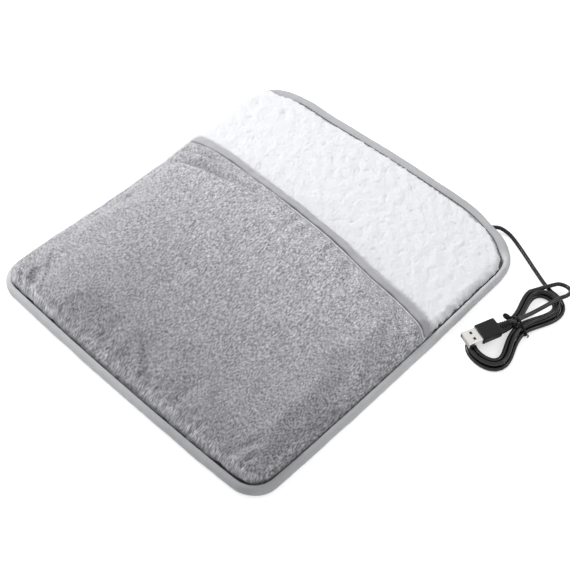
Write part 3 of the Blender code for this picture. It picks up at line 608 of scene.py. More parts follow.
def velour(name, colour, contrast=0.08, nap=0.0006):
    """Short-napped tape: fine grain, faint streaks and a soft sheen, times painted light and shade that the
    mesh carries.
    """
    look = Finish(name, 0.85, Sheen_Weight=0.35, Sheen_Roughness=0.45, Specular_IOR_Level=0.25)
    fine = look.grain(nap, 4.0, (1.0, 1.4, 1.0))
    wide = look.grain(0.012, 2.0)
    tone = look.ramp(fine, (0.3, shade(colour, 1 - contrast)), (0.7, shade(colour, 1 + contrast)))
    patch = look.ramp(wide, (0.35, 0.93), (0.65, 1.0))
    # The mesh's value multiplies in painted light and shade
    look.colour(look.mix(look.mix(tone, patch), look.grey(look.value("tone_and_painted_light"))))
    look.roughness(wide, 0.78, 0.92)
    look.bump(fine, 0.00012, 0.7)
    return look.material


def plush(name, colour):
    """Long soft nap: tips lighter than the roots as painted shade, patches of tone with painted light and
    shade from the mesh, and a strong sheen.
    """
    look = Finish(name, 0.9, Sheen_Weight=0.5, Sheen_Roughness=0.4, Specular_IOR_Level=0.2)
    depth = look.value("nap")
    tone_and_painted_light = look.value("tone_and_painted_light")
    streaks = look.grain(0.00044, 0.0, (1.0, 5.0, 60.0))
    hairs = look.grain(0.00038, 0.0, (1.0, 4.0, 60.0), 0.12)
    # Painted shade: low places between the tufts darker, their tips lighter
    tone = look.ramp(depth, (0.1, shade(colour, 0.84)), (0.5, colour), (0.9, shade(colour, 1.12)))
    strands = look.mix(look.ramp(streaks, (0.34, 0.40), (0.50, 0.80), (0.66, 1.0)),
                       look.ramp(hairs, (0.36, 0.56), (0.64, 1.0)))
    strands = look.mix(strands, look.grey(look.value("pressed")), "LIGHTEN")
    # The mesh's value multiplies in patches of tone and painted light and shade
    look.colour(look.mix(look.mix(tone, look.grey(tone_and_painted_light)), strands))
    look.roughness(streaks, 0.82, 0.95)
    look.bump(streaks, 0.00030, 0.9)
    return look.material


def fleece(name, colour):
    """White curly pile that lets some light through, with painted shade: greyer down in its folds and where
    its pile value is lowered.
    """
    look = Finish(name, 0.95, Sheen_Weight=0.4, Sheen_Roughness=0.5, Specular_IOR_Level=0.15,
                  Subsurface_Weight=0.6, Subsurface_Scale=0.005)
    look.shader.inputs["Subsurface Radius"].default_value = (1.0, 0.95, 0.9)
    depth = look.value("pile")
    fibres = look.grain(0.0005, 4.0)
    # Painted shade: the low places of the pile darker
    tone = look.ramp(depth, (0.0, shade(colour, 0.62)), (0.2, shade(colour, 0.87)),
                     (0.42, shade(colour, 0.98)), (0.9, colour))
    strands = look.ramp(fibres, (0.3, 0.96), (0.7, 1.0))
    look.colour(look.mix(tone, strands))
    look.roughness(fibres, 0.9, 1.0)
    look.bump(fibres, 0.0002, 0.6)
    return look.material


def woven_cloth(name, colour, thread=0.0007):
    """Plain woven cloth."""
    look = Finish(name, 0.9, Specular_IOR_Level=0.25)
    threads = look.weave(thread)
    fuzz = look.grain(0.004, 3.0)
    tone = look.ramp(threads, (0.3, shade(colour, 0.75)), (0.9, shade(colour, 1.15)))
    look.colour(look.mix(tone, look.ramp(fuzz, (0.3, 0.9), (0.7, 1.0))))
    look.roughness(fuzz, 0.82, 0.95)
    look.bump(threads, 0.0002, 0.7)
    return look.material


def soft_plastic(name, colour, roughness, size=0.0015, relief=0.00003, gloss=0.22):
    """Moulded or extruded plastic: a faint grain in gloss and surface."""
    look = Finish(name, roughness, Specular_IOR_Level=gloss)
    spots = look.grain(size, 4.0)
    smudge = look.grain(size * 12, 2.0)
    tone = look.ramp(spots, (0.3, shade(colour, 0.9)), (0.7, shade(colour, 1.15)))
    look.colour(look.mix(tone, look.ramp(smudge, (0.3, 0.9), (0.7, 1.0))))
    look.roughness(smudge, roughness * 0.85, roughness * 1.2)
    look.bump(spots, relief, 0.6)
    return look.material


def plated_metal(name, colour, roughness):
    """Plated sheet metal with faint drawing lines and spots of wear."""
    look = Finish(name, roughness, Metallic=1.0)
    lines = look.grain(0.00025, 3.0, (1.0, 8.0, 1.0))
    spots = look.grain(0.002, 3.0)
    tone = look.ramp(spots, (0.3, shade(colour, 0.92)), (0.7, colour))
    look.colour(look.mix(tone, look.ramp(lines, (0.3, 0.93), (0.7, 1.0))))
    look.roughness(lines, roughness * 0.8, roughness * 1.35)
    look.bump(lines, 0.00001, 0.5)
    return look.material


def wadding(name, colour):
    """Loose fibre filling."""
    look = Finish(name, 0.95, Specular_IOR_Level=0.1)
    fibres = look.grain(0.0012, 5.0, (1.0, 2.5, 1.0), 0.6)
    look.colour(look.ramp(fibres, (0.3, shade(colour, 0.85)), (0.7, colour)))
    look.roughness(fibres, 0.9, 1.0)
    look.bump(fibres, 0.0004, 0.8)
    return look.material


def exit_place(mat, lead):
    """Where the lead leaves the rim, and the direction in which it leaves."""
    radius = mat.heel_radius
    y = mat.length / 2 - radius * (1 - math.cos(lead.exit_angle)) - mat.end_bow
    x = half_width(mat, y) - radius * (1 - math.sin(lead.exit_angle))
    heading = math.pi / 2 - lead.exit_angle - lead.exit_slant
    return Vector((x, y, lead.exit_level)), Vector((math.cos(heading), math.sin(heading), 0.0))


def strand_pitch(lead):
    """From strand to strand of the hank, one above the other."""
    return lead.diameter + lead.strand_gap


def side_pitch(lead):
    """From strand to strand of the hank, side by side."""
    return lead.diameter + lead.side_gap


def ground_level(lead):
    """Height of the lead's middle where it lies on the floor."""
    return lead.diameter / 2 + lead.floor_gap


seam_gap = 0.0003
overmould_size = Vector((0.0140, 0.0160, 0.0076))
relief_length = 0.0085
lobe_spread_share = 0.02
climb_turns = 0.5
reversal_softness = 0.06
tie_lift_reach = 0.009
tail_side = -0.0002
tail_run = 0.0032
tail_slack = 0.0006


def tie_lift(lead):
    """How far the strands rise at the waist to let the tie pass under them."""
    return lead.tie_thickness + 2 * seam_gap + lead.floor_gap


def hank_loop_point(lead, turn):
    """One point of the tied loops, in the hank's own frame, after so many turns."""
    angle = math.pi / 2 - 2 * math.pi * turn
    side, rise = math.cos(angle), math.sin(angle)
    lobe = (lead.lower_lobe + lead.upper_lobe) / 2 + (lead.upper_lobe - lead.lower_lobe) / 2 * rise
    widest = 2 / (3 * math.sqrt(3))
    place = Vector((lead.waist * side + lobe * side * rise ** 2 / widest, lead.loop_reach * rise))
    lobe_slope = (lead.upper_lobe - lead.lower_lobe) / 2 * side
    slope = Vector((
        -lead.waist * rise + lobe_slope * side * rise ** 2 / widest
        + lobe * (2 * side ** 2 * rise - rise ** 3) / widest,
        lead.loop_reach * side,
    ))
    outward = Vector((slope.y, -slope.x)).normalized()
    turns_out = math.hypot(turn - lead.reverse_turn, reversal_softness)
    spread = 1 + lobe_spread_share * rise ** 2
    place += outward * side_pitch(lead) * spread * turns_out
    climb = float(ease_in((turn - lead.reverse_turn) / climb_turns + 0.5))
    lift = tie_lift(lead) * math.exp(-(place.y / tie_lift_reach) ** 2)
    return Vector((place.x, place.y, ground_level(lead) + strand_pitch(lead) * climb + lift))


def hank_matrix(lead):
    """Place and turn of the hank."""
    return Matrix.Translation(lead.hank_place) @ Matrix.Rotation(lead.hank_turn, 4, "Z")


def plug_matrix(lead):
    """Place and turn of the plug, which lies on the hank's two layers."""
    level = ground_level(lead) + 1.5 * strand_pitch(lead) + overmould_size.z / 2 + seam_gap
    place = Vector(lead.plug_place) + Vector((0, 0, level))
    return Matrix.Translation(place) @ Matrix.Rotation(lead.plug_turn, 4, "Z")


def smooth_path(points, spacing):
    """Points along a smooth curve through the route's own points."""
    route = [Vector(point) for point in points]
    ends = [2 * route[0] - route[1]] + route + [2 * route[-1] - route[-2]]
    path = [route[0]]
    for before, start, finish, after in zip(ends, ends[1:], ends[2:], ends[3:]):
        steps = max(1, round((finish - start).length / spacing))
        for step in range(1, steps + 1):
            t = step / steps
            path.append(0.5 * (2 * start + (finish - before) * t
                               + (2 * before - 5 * start + 4 * finish - after) * t ** 2
                               + (3 * start - before - 3 * finish + after) * t ** 3))
    return path


def lead_route(mat, lead):
    """The whole lead: out of the binding, over the floor, round the hank and up to the plug."""
    outlet, way_out = exit_place(mat, lead)
    ground = ground_level(lead)
    free_points = [
        outlet - way_out * (lead.exit_depth - seam_gap), outlet + way_out * lead.diameter / 2,
        (0.1085, 0.1530, 0.0036), (0.1137, 0.1531, 0.0025), (0.1195, 0.1515, 0.0018),
        (0.1275, 0.1481, ground), (0.1363, 0.1440, ground), (0.1450, 0.1398, ground),
        (0.1536, 0.1358, ground), (0.1580, 0.1338, ground), (0.1612, 0.1325, ground),
    ]
    place = hank_matrix(lead)
    count = round(lead.turn_points * lead.turns)
    loops = [place @ hank_loop_point(lead, step / lead.turn_points) for step in range(count + 1)]
    upper = ground + strand_pitch(lead)
    top = upper + strand_pitch(lead)
    plug = plug_matrix(lead)
    back = (plug.to_3x3() @ Vector((0, 1, 0))).normalized()
    end = plug @ Vector((0, overmould_size.y / 2 + 2 * seam_gap + relief_length, 0))
    tail_points = [
        loops[-1],
        (0.1664, 0.1315, upper), (0.1703, 0.1373, upper), (0.1762, 0.1392, upper),
        (0.1812, 0.1358, (upper + top) / 2), (0.1820, 0.1295, top), (0.1790, 0.1220, top),
        (0.1757, 0.1090, top), (0.1727, 0.0965, top + tie_lift(lead) / 2),
        place @ Vector((tail_side, tail_run, top + tie_lift(lead))),
        place @ Vector((tail_side - tail_slack, -tail_run / 2, top + tie_lift(lead))),
        end + back * (lead.diameter + seam_gap), end + back * seam_gap,
    ]
    spacing = lead.diameter / 2
    start = smooth_path(free_points + [(0.1680, 0.1303, ground), loops[0]], spacing)
    tail = smooth_path(tail_points, spacing)
    return start[:-1] + loops + tail[1:]


def hull(points):
    """Convex outline of flat points, anticlockwise."""
    ordered = sorted(points)
    loop = []
    for line in (ordered, ordered[::-1]):
        chain = []
        for point in line:
            while len(chain) > 1:
                (ax, ay), (bx, by) = chain[-2], chain[-1]
                if (bx - ax) * (point[1] - ay) - (by - ay) * (point[0] - ax) > 0:
                    break
                chain.pop()
            chain.append(point)
        loop += chain[:-1]
    return loop


def tie_outline(lead, radius, sides=24):
    """Outline of a band that hugs the strands at the hank's waist."""
    pitch, beside = strand_pitch(lead), side_pitch(lead)
    one = ground_level(lead) + tie_lift(lead)
    right = lead.waist + beside * math.hypot(lead.reverse_turn - 0.25, reversal_softness)
    left = -lead.waist - beside * math.hypot(lead.reverse_turn - 0.75, reversal_softness)
    centres = [(right, one), (left, one), (left, one + pitch), (right - beside, one + pitch),
               (tail_side - 2 * tail_slack, one + 2 * pitch + tail_slack / 4),
               (tail_side + tail_slack, one + 2 * pitch)]
    points = []
    for x, z in centres:
        for index in range(sides):
            angle = 2 * math.pi * index / sides
            points.append((round(x + radius * math.cos(angle), 9), round(z + radius * math.sin(angle), 9)))
    return hull(points), (left, one + pitch), (right, one)


def even_loop(points, count):
    """A closed flat outline as `count` evenly spaced points with outward directions."""
    loop = np.array(points + points[:1])
    travelled = np.concatenate(([0.0], np.cumsum(np.hypot(*np.diff(loop, axis=0).T))))
    along = np.linspace(0, travelled[-1], count, endpoint=False)
    places = np.stack([np.interp(along, travelled, loop[:, axis]) for axis in (0, 1)], axis=1)
    way = np.roll(places, -1, axis=0) - np.roll(places, 1, axis=0)
    way /= np.linalg.norm(way, axis=1)[:, None]
    return places, np.stack((way[:, 1], -way[:, 0]), axis=1)


class WARMER_OT_stage(bpy.types.Operator):
    """Sets up the camera, the pale floor and the soft lamps"""

    bl_idname = "warmer.stage"
    bl_label = "Stage"

    def execute(self, context):
        stage = context.scene.warmer_stage
        self.make_camera(context, stage)
        self.make_floor(context, stage)
        self.make_sky(context, stage)
        self.make_lamps(context, stage)
        context.scene.view_settings.view_transform = "Standard"
        return {"FINISHED"}

    def make_camera(self, context, stage):
        camera = bpy.data.objects.new("camera", bpy.data.cameras.new("camera"))
        context.scene.collection.objects.link(camera)
        flat = math.cos(stage.elevation)
        back = Vector((math.sin(stage.azimuth) * flat, -math.cos(stage.azimuth) * flat,
                       math.sin(stage.elevation)))
        turn = (-back).to_track_quat("-Z", "Y").to_matrix().to_4x4() @ Matrix.Rotation(stage.roll, 4, "Z")
        camera.matrix_world = Matrix.Translation(Vector(stage.target) + back * stage.distance) @ turn
        camera.data.lens = stage.lens
        context.scene.camera = camera

    def seen_or_mirrored(self, nodes, links):
        """1 where the camera looks straight or by way of a gloss, 0 for all other light."""
        path = nodes.new("ShaderNodeLightPath")
        either = nodes.new("ShaderNodeMath")
        either.operation = "MAXIMUM"
        links.new(path.outputs["Is Camera Ray"], either.inputs[0])
        links.new(path.outputs["Is Glossy Ray"], either.inputs[1])
        return either.outputs["Value"]

    def make_floor(self, context, stage):
        look = Finish("pale_floor", 0.9, Specular_IOR_Level=0.1)
        spots = look.grain(0.4, 2.0)
        look.colour(look.ramp(spots, (0.0, shade(stage.floor_colour, 0.99)), (1.0, stage.floor_colour)))
        nodes, links = look.nodes, look.links
        glow = nodes.new("ShaderNodeEmission")
        seen = self.seen_or_mirrored(nodes, links)
        strength = nodes.new("ShaderNodeMath")
        strength.operation = "MULTIPLY"
        strength.inputs[1].default_value = stage.floor_glow
        links.new(seen, strength.inputs[0])
        links.new(strength.outputs["Value"], glow.inputs["Strength"])
        both = nodes.new("ShaderNodeAddShader")
        links.new(look.shader.outputs["BSDF"], both.inputs[0])
        links.new(glow.outputs["Emission"], both.inputs[1])
        links.new(both.outputs["Shader"], nodes["Material Output"].inputs["Surface"])
        half = stage.floor_size / 2
        floor = new_piece("floor", [(-half, -half, 0), (half, -half, 0), (half, half, 0), (-half, half, 0)],
                          [(0, 1, 2, 3)], look.material, False)

    def make_sky(self, context, stage):
        sky = bpy.data.worlds.new("studio_sky")
        context.scene.world = sky
        sky.use_nodes = True
        nodes, links = sky.node_tree.nodes, sky.node_tree.links
        lit = nodes["Background"]
        lit.inputs["Color"].default_value = (1.0, 1.0, 1.0, 1.0)
        lit.inputs["Strength"].default_value = stage.sky
        seen = nodes.new("ShaderNodeBackground")
        seen.inputs["Color"].default_value = (1.0, 1.0, 1.0, 1.0)
        either = self.seen_or_mirrored(nodes, links)
        mix = nodes.new("ShaderNodeMixShader")
        links.new(either, mix.inputs["Fac"])
        links.new(lit.outputs["Background"], mix.inputs[1])
        links.new(seen.outputs["Background"], mix.inputs[2])
        links.new(mix.outputs["Shader"], nodes["World Output"].inputs["Surface"])

    def make_lamps(self, context, stage):
        mat_middle = Vector((0.0, 0.0, 0.0))
        for name, place, size, power in (
            ("key_lamp", Vector((-0.80, 0.0, 0.80)), 0.34, stage.key),
            ("fill_lamp", Vector((-0.95, -1.10, 0.90)), 0.9, stage.fill),
            ("back_lamp", Vector((0.65, 0.63, 0.95)), 0.30, stage.back),
        ):
            lamp = bpy.data.lights.new(name, "AREA")
            lamp.size = size
            lamp.energy = power
            holder = bpy.data.objects.new(name, lamp)
            context.scene.collection.objects.link(holder)
            holder.location = place
            holder.rotation_euler = (mat_middle - place).to_track_quat("-Z", "Y").to_euler()


class WARMER_OT_lead(bpy.types.Operator):
    """Lays the lead and its tied hank, and winds the twist tie round its waist"""

    bl_idname = "warmer.lead"
    bl_label = "Lead"

    def execute(self, context):
        mat, lead = context.scene.warmer_mat, context.scene.warmer_lead
        tie_pieces = self.make_tie(lead)
        self.make_lead(mat, lead, tie_pieces + make_plug(lead))
        return {"FINISHED"}

    def make_lead(self, mat, lead, on_it):
        path = lead_route(mat, lead)
        curve = bpy.data.curves.new("lead", "CURVE")
        curve.dimensions = "3D"
        curve.bevel_depth = lead.diameter / 2
        curve.bevel_resolution = 6
        curve.use_fill_caps = True
        spline = curve.splines.new("POLY")
        spline.points.add(len(path) - 1)
        for point, place in zip(spline.points, path):
            point.co = (*place, 1.0)
        spline.use_smooth = True
        curve.materials.append(soft_plastic("lead_jacket", lead.colour, 0.14, 0.0040, 0.000002, 0.40))
        piece = bpy.data.objects.new("lead", curve)
        bpy.context.scene.collection.objects.link(piece)
        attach(piece, "mat")
        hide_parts("usb_cord", "cord_hank")

    def make_tie(self, lead):
        """The twist tie: a band with a wire rib that hugs the strands, its ends twisted into a tuft."""
        look = soft_plastic("tie_film", (0.004, 0.004, 0.005), 0.30, 0.0008, 0.00003, 0.16)
        touch = lead.diameter / 2 + seam_gap
        loop, left, right = tie_outline(lead, touch)
        count = 120
        places, outward = even_loop(loop, count)
        half, thick = lead.tie_width / 2, lead.tie_thickness
        section = ((-0.9, 0.0), (0.9, 0.0), (1.0, 0.35), (0.9, 0.75), (0.35, 0.8), (0.12, 1.25),
                   (-0.12, 1.25), (-0.35, 0.8), (-0.9, 0.75), (-1.0, 0.35))
        hank = hank_matrix(lead)
        turn = np.linspace(0, 2 * math.pi, count, endpoint=False)
        loops = []
        for across, out in section:
            sway = 1.2 * hair * np.sin(3 * turn + across)
            reach = places + outward * thick * out
            loops.append([hank @ Vector((x, half * across + shift, z)) for (x, z), shift in zip(reach, sway)])
        tie = add_ring("twist_tie", np.array(loops), look)
        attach(tie, "mat")
        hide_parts("cord_tie")
        beside = touch + thick / 2
        knot = self.add_end(hank, look, "knot", (left[0] - beside, left[1]), -0.0036, 0.0009, 0.0013, 0.92)
        tip = self.add_end(hank, look, "tip", (right[0] + beside, right[1]), 0.0016, 0.0010, 0.0005, 0.60)
        return [tie, knot, tip]

    def add_end(self, hank, look, name, place, reach, lobe, radius, share):
        """One end of the tie: a share of a flat loop, which starts at a place beside the strands."""
        side, level = place
        steps, corners = 36, 12
        flatness, sag = 0.8, 0.0008
        rings = []
        for step in range(steps + 1):
            t = step / steps
            turn = 2 * math.pi * (0.04 + share * t)
            middle = Vector((side + reach * (1 - math.cos(turn)) / 2, lobe * math.sin(turn),
                             level - sag * t))
            way = Vector((reach * math.sin(turn) / 2, lobe * math.cos(turn), 0.0)).normalized()
            across = way.cross(Vector((0, 0, 1)))
            ring = []
            for corner in range(corners):
                angle = 2 * math.pi * corner / corners
                ring.append(hank @ (middle + across * radius * math.cos(angle)
                                    + Vector((0, 0, flatness * radius * math.sin(angle)))))
            rings.append(ring)
        end = add_sweep(f"tie_{name}", rings, look)
        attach(end, "mat")
        return end


def rounded_rectangle(width, height, radius):
    """Points of a rectangle with round corners, anticlockwise."""
    steps = 6
    points = []
    for sign_x, sign_z, start in ((1, 1, 0), (-1, 1, 90), (-1, -1, 180), (1, -1, 270)):
        for step in range(steps + 1):
            angle = math.radians(start + 90 * step / steps)
            points.append((sign_x * (width / 2 - radius) + radius * math.cos(angle),
                           sign_z * (height / 2 - radius) + radius * math.sin(angle)))
    return points


def plug_ring(place, y, outline_points):
    """A cross section of the plug at a place along it."""
    return [place @ Vector((x, y, z)) for x, z in outline_points]


def finish_plug_piece(piece, node):
    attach(piece, "mat")
    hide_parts(node)
    return piece


def make_overmould(place, look):
    """The plug's grip: a soft-cornered block with a moulded step at its back."""
    width, length, height = overmould_size
    corner = 0.0014
    shares = ((-1.0, 0.955), (-0.985, 0.985), (-0.95, 1.0), (-0.5, 1.0), (0.0, 1.0), (0.5, 1.0),
              (0.80, 1.0), (0.90, 0.985), (0.96, 0.95), (0.99, 0.88), (1.0, 0.78))
    rings = []
    for along, wide in shares:
        section = rounded_rectangle(width * wide, height * wide, corner * wide)
        rings.append(plug_ring(place, length / 2 * along, section))
    body = add_sweep("plug_grip", rings, look)
    return finish_plug_piece(body, "usb_overmould")


def make_relief(place, look):
    """The ribbed, tapered sleeve between the grip and the lead."""
    start = overmould_size.y / 2 - 2 * seam_gap
    wide, narrow = 0.0060 / 2, 0.0043 / 2
    ribs, groove = 5, 0.00045
    sides, steps = 32, 60
    rings = []
    for step in range(steps + 1):
        t = step / steps
        radius = wide + (narrow - wide) * t
        wave = 0.5 - 0.5 * math.cos(2 * math.pi * ribs * t)
        radius -= groove * wave ** 0.6 * (1 if 0.02 < t < 0.98 else 0)
        y = start + (relief_length + 3 * seam_gap) * t
        rings.append([place @ Vector((radius * math.cos(2 * math.pi * index / sides), y,
                                      radius * math.sin(2 * math.pi * index / sides)))
                      for index in range(sides)])
    relief = add_sweep("plug_relief", rings, look)
    return finish_plug_piece(relief, "usb_strain_relief")


def make_shell(lead, place):
    """The plated shell: a drawn tube with soft corners, rolled front edge and four latch holes."""
    look = plated_metal("plug_plating", lead.shell_colour, 0.24)
    width, height, wall, corner = 0.0120, 0.0045, 0.0003, 0.0007
    bare_length, held_length = 0.0118, 0.0037
    front = -overmould_size.y / 2 - bare_length
    back = -overmould_size.y / 2 + held_length
    outer = rounded_rectangle(width, height, corner)
    inner = rounded_rectangle(width - 2 * wall, height - 2 * wall, corner - wall)
    lip_outer = rounded_rectangle(width - wall, height - wall, corner - wall / 2)
    profile = ((front + wall / 3, outer), (back, outer), (back, inner), (front + wall / 3, inner),
               (front, lip_outer))
    loops = np.array([plug_ring(Matrix.Identity(4), y, points) for y, points in profile])
    shell = add_ring("plug_shell", loops, look)
    hole_width, hole_length, hole_side, hole_back = 0.0023, 0.0020, 0.0027, 0.0052
    for side in (-1, 1):
        middle = Vector((side * hole_side, front + hole_back + hole_length / 2, 0))
        half = Vector((hole_width / 2, hole_length / 2, height))
        corners = [middle + Vector((a * half.x, b * half.y, c * half.z))
                   for a in (-1, 1) for b in (-1, 1) for c in (-1, 1)]
        cutter = new_piece("latch_hole", corners, [(0, 1, 3, 2), (4, 6, 7, 5), (0, 4, 5, 1), (2, 3, 7, 6),
                                                   (0, 2, 6, 4), (1, 5, 7, 3)], look, False)
        cut = shell.modifiers.new("hole", "BOOLEAN")
        cut.object = cutter
        apply_modifiers(shell)
        bpy.data.objects.remove(cutter)
    shell.data.transform(place)
    shell.data.set_sharp_from_angle(angle=math.radians(35))
    return finish_plug_piece(shell, "usb_shell")


def apply_modifiers(piece):
    """Bakes a piece's modifiers into its mesh."""
    bpy.context.view_layer.update()
    evaluated = piece.evaluated_get(bpy.context.evaluated_depsgraph_get())
    mesh = bpy.data.meshes.new_from_object(evaluated)
    piece.modifiers.clear()
    piece.data = mesh


def make_plug(lead):
    """The grip, sleeve and shell, with finishes for the tongue and contacts of the solid model."""
    place = plug_matrix(lead)
    rubber = soft_plastic("plug_moulding", lead.plug_colour, 0.42, 0.0004, 0.00003)
    pieces = [make_overmould(place, rubber), make_relief(place, rubber), make_shell(lead, place)]
    tongue = frame["nodes"]["usb_tongue"]
    tongue.data.materials[0] = soft_plastic("tongue_plastic", (0.70, 0.70, 0.70), 0.45, 0.0005)
    pieces.append(tongue)
    contact_look = plated_metal("contact_plating", (0.85, 0.62, 0.25), 0.28)
    for name, node in frame["nodes"].items():
        if name.startswith("usb_contact"):
            node.data.materials[0] = contact_look
            pieces.append(node)
    return pieces


class WARMER_OT_binding(bpy.types.Operator):
    """Rolls the binding round the mat's rim and stitches its seam"""

    bl_idname = "warmer.binding"
    bl_label = "Binding"

    def execute(self, context):
        mat = context.scene.warmer_mat
        self.make_roll(mat)
        self.make_stitches(mat)
        return {"FINISHED"}

    def section(self, mat, seam):
        """(inset, level) places once round the roll, from its outer middle over the top."""
        crest = 0.42 * mat.roll_height
        lip = 0.0008
        wall = np.full_like(seam, seam_inset(mat))
        edge = np.zeros_like(seam)
        low = mat.roll_height - mat.seam_drop
        up = mat.roll_height / 2

        def bend(angles):
            return [(math.cos(math.radians(angle)), math.sin(math.radians(angle))) for angle in angles]

        points = [(edge + crest * (1 - cosine), up + up * sine) for cosine, sine in bend(range(0, 90, 6))]
        points += [(crest + (seam - lip - crest) * share, mat.roll_height - mat.seam_drop * share ** 2)
                   for share in np.linspace(0, 1, 18)]
        points += [(seam - lip + lip * sine, low - lip + lip * cosine) for cosine, sine in bend((30, 60, 90))]
        points += [(seam + (wall - seam) * share, low - 2 * lip - (low - 3 * lip) * share)
                   for share in np.linspace(0, 1, 6)]
        points += [(wall - lip + lip * cosine, lip - lip * sine) for cosine, sine in bend((45, 90))]
        points += [(crest + (wall - lip - crest) * share, 0.0) for share in (0.66, 0.33)]
        points += [(edge + crest * (1 - cosine), up - up * sine) for cosine, sine in bend(range(84, 5, -6))]
        return points

    def make_roll(self, mat):
        places, outward, along = outline(mat, millimetre)
        loops = []
        seam, stitched = tape_inset(mat, *places.T), stitch_inset(mat, *places.T)
        for inset, level in self.section(mat, seam):
            x, y = (places - outward * inset[:, None]).T
            top = ease_in((level - 0.3 * mat.roll_height) / (0.5 * mat.roll_height))
            near_seam = hump(inset - stitched, 0.0022) * top
            groove = hump(inset - stitched, 0.0005) * top
            swell = noises(x, y, level, (0.00035, 0.022, 3), (0.00016, 0.006, 5), (0.00006, 0.0016, 8))
            gather = math.pi * along / (2 * mat.stitch) + 1.2 * noise(x, y, 0, 0.02, 4)
            pucker = 0.0003 * np.abs(np.sin(gather))
            outer = (inset < mat.roll_height / 2) * 1.0
            rise = (swell * 0.9 - near_seam * pucker - 0.0005 * groove) * (level > 0.5 * mat.roll_height)
            x, y = (places - outward * (inset - swell * (1 - 0.4 * top) * outer)[:, None]).T
            loops.append(np.column_stack((*settle(mat, x, y), np.maximum(level + rise, 0.0))))
        roll = add_ring("rolled_binding", np.array(loops), velour("binding_velour", mat.roll_colour))
        # A value per vertex that paints light and shade onto the tape
        add_value(roll, "tone_and_painted_light", np.tile(self.tone_and_painted_light(mat, *places.T), len(loops)))
        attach(roll, "mat")
        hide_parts("edge_binding", "binding_core")

    def tone_and_painted_light(self, mat, x, y):
        """Painted light and shade on the tape: lighter towards the heel and the left, darker at the toe and
        its right corner.
        """
        right = ease_in((x - 0.45 * mat.width) / 0.010)
        left = ease_in((-x - 0.45 * mat.width) / 0.010)
        toe = ease_in((-y - 0.46 * mat.length) / 0.010)
        corner = hump(np.hypot(x - mat.width / 2, y + mat.length / 2), 0.030)
        along_right = 0.04 + 0.22 * ease_in((y + 0.12) / 0.12) + 0.16 * ease_in((y - 0.02) / 0.06)
        along_left = 0.22 * ease_in(-(y + 0.01) / 0.04)
        along_toe = 0.10 * ease_in((-x - 0.08) / 0.03) - 0.15 * ease_in((x - 0.01) / 0.05)
        return 1 + right * along_right + left * along_left + toe * along_toe - 0.17 * corner

    def make_stitches(self, mat):
        places, outward = outline(mat, mat.stitch)[:2]
        inset = stitch_inset(mat, *places.T)
        seam = places - outward * (inset - 2 * hair)[:, None]
        thread, sunk, gap_share = 0.0007, 0.0006, 0.04
        level = roll_level(mat, inset, tape_inset(mat, *places.T)) - sunk
        line = np.column_stack((*settle(mat, *seam.T), level))
        step = np.roll(line, -1, axis=0) - line
        # Dark thread, dark also as painted shadow of the seam's line
        look = woven_cloth("seam_thread", mat.thread_and_seam_shadow_colour, 0.0003)
        threads = add_capsules("binding_stitches", line + step * gap_share, line + step * (1 - gap_share),
                               thread, look)
        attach(threads, "mat")
        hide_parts("binding_thread")


def curls(x, y, curl):
    """Height of the fleece from 0 to 1: low clumps with tufts on them, parted by short cracks."""
    along = 0.74 * y - 0.68 * x + 0.22 * curl * noise(x, y, 0, 1.2 * curl, 21)
    across = 0.68 * y + 0.74 * x + 0.22 * curl * noise(x, y, 0, 1.0 * curl, 22)
    lobes = noise(across, along, 0, (0.95 * curl, 1.30 * curl, 1.0), 31)
    tufts = noise(across, along, 0, (0.24 * curl, 0.40 * curl, 1.0), 32)
    strands = noise(across, along, 0, (0.13 * curl, 0.24 * curl, 1.0), 33)
    parting = noise(across + 0.10 * curl * tufts, along, 0, (0.70 * curl, 1.10 * curl, 1.0), 35)
    broken = ease_in((noise(across, along, 0, 0.80 * curl, 36) - 0.12) / 0.30)
    cracks = hump(parting, 0.13) * broken
    return np.clip(0.55 + 0.20 * lobes + 0.10 * tufts + 0.045 * strands - 0.20 * cracks, 0, 1.1)


def mouth_dip(share):
    """How far the mouth's seam is drawn back at its two ends."""
    ends = np.where(share < 0, 6.7, 2.0) * share ** 10
    return (ends + 1.4 * hump(np.abs(share) - 0.92, 0.12)) * millimetre


def band_reach(pocket, share):
    """Width of the band at the mouth, narrower towards its ends but for the seam drawn back there."""
    narrowed = pocket.band_width * (1 - 0.36 * np.abs(share) ** 5)
    return narrowed + mouth_dip(share) - 3.2 * share ** 10 * millimetre


def mouth_shift(pocket, share):
    """How far the mouth's seam wanders from its middle place, over the share of the half width."""
    wave = 1.2 + hump(share, 0.28) - 2.2 * hump(share - 0.60, 0.22)
    return pocket.mouth_skew * share + wave * millimetre - mouth_dip(share)


def mouth_line(mat, pocket, x):
    """Where the seam of the pocket's mouth runs along the mat."""
    return pocket.mouth + mouth_shift(pocket, x / (mat.width / 2 - mat.near_seam))


def foot_space(mat, pocket, x, y):
    """Height of the space between the foot bed and the pocket, 0 at its seams."""
    seam = seam_inset(mat)
    across = 1 - np.clip(np.abs(x) / (half_width(mat, y) - seam), 0, 1) ** 2.5
    toe = seam - half_length(mat, x)
    along = 1 - (1 - np.clip((y - toe) / (mouth_line(mat, pocket, x) - toe), 0, 1)) ** 2
    return pocket.cavity * across * along


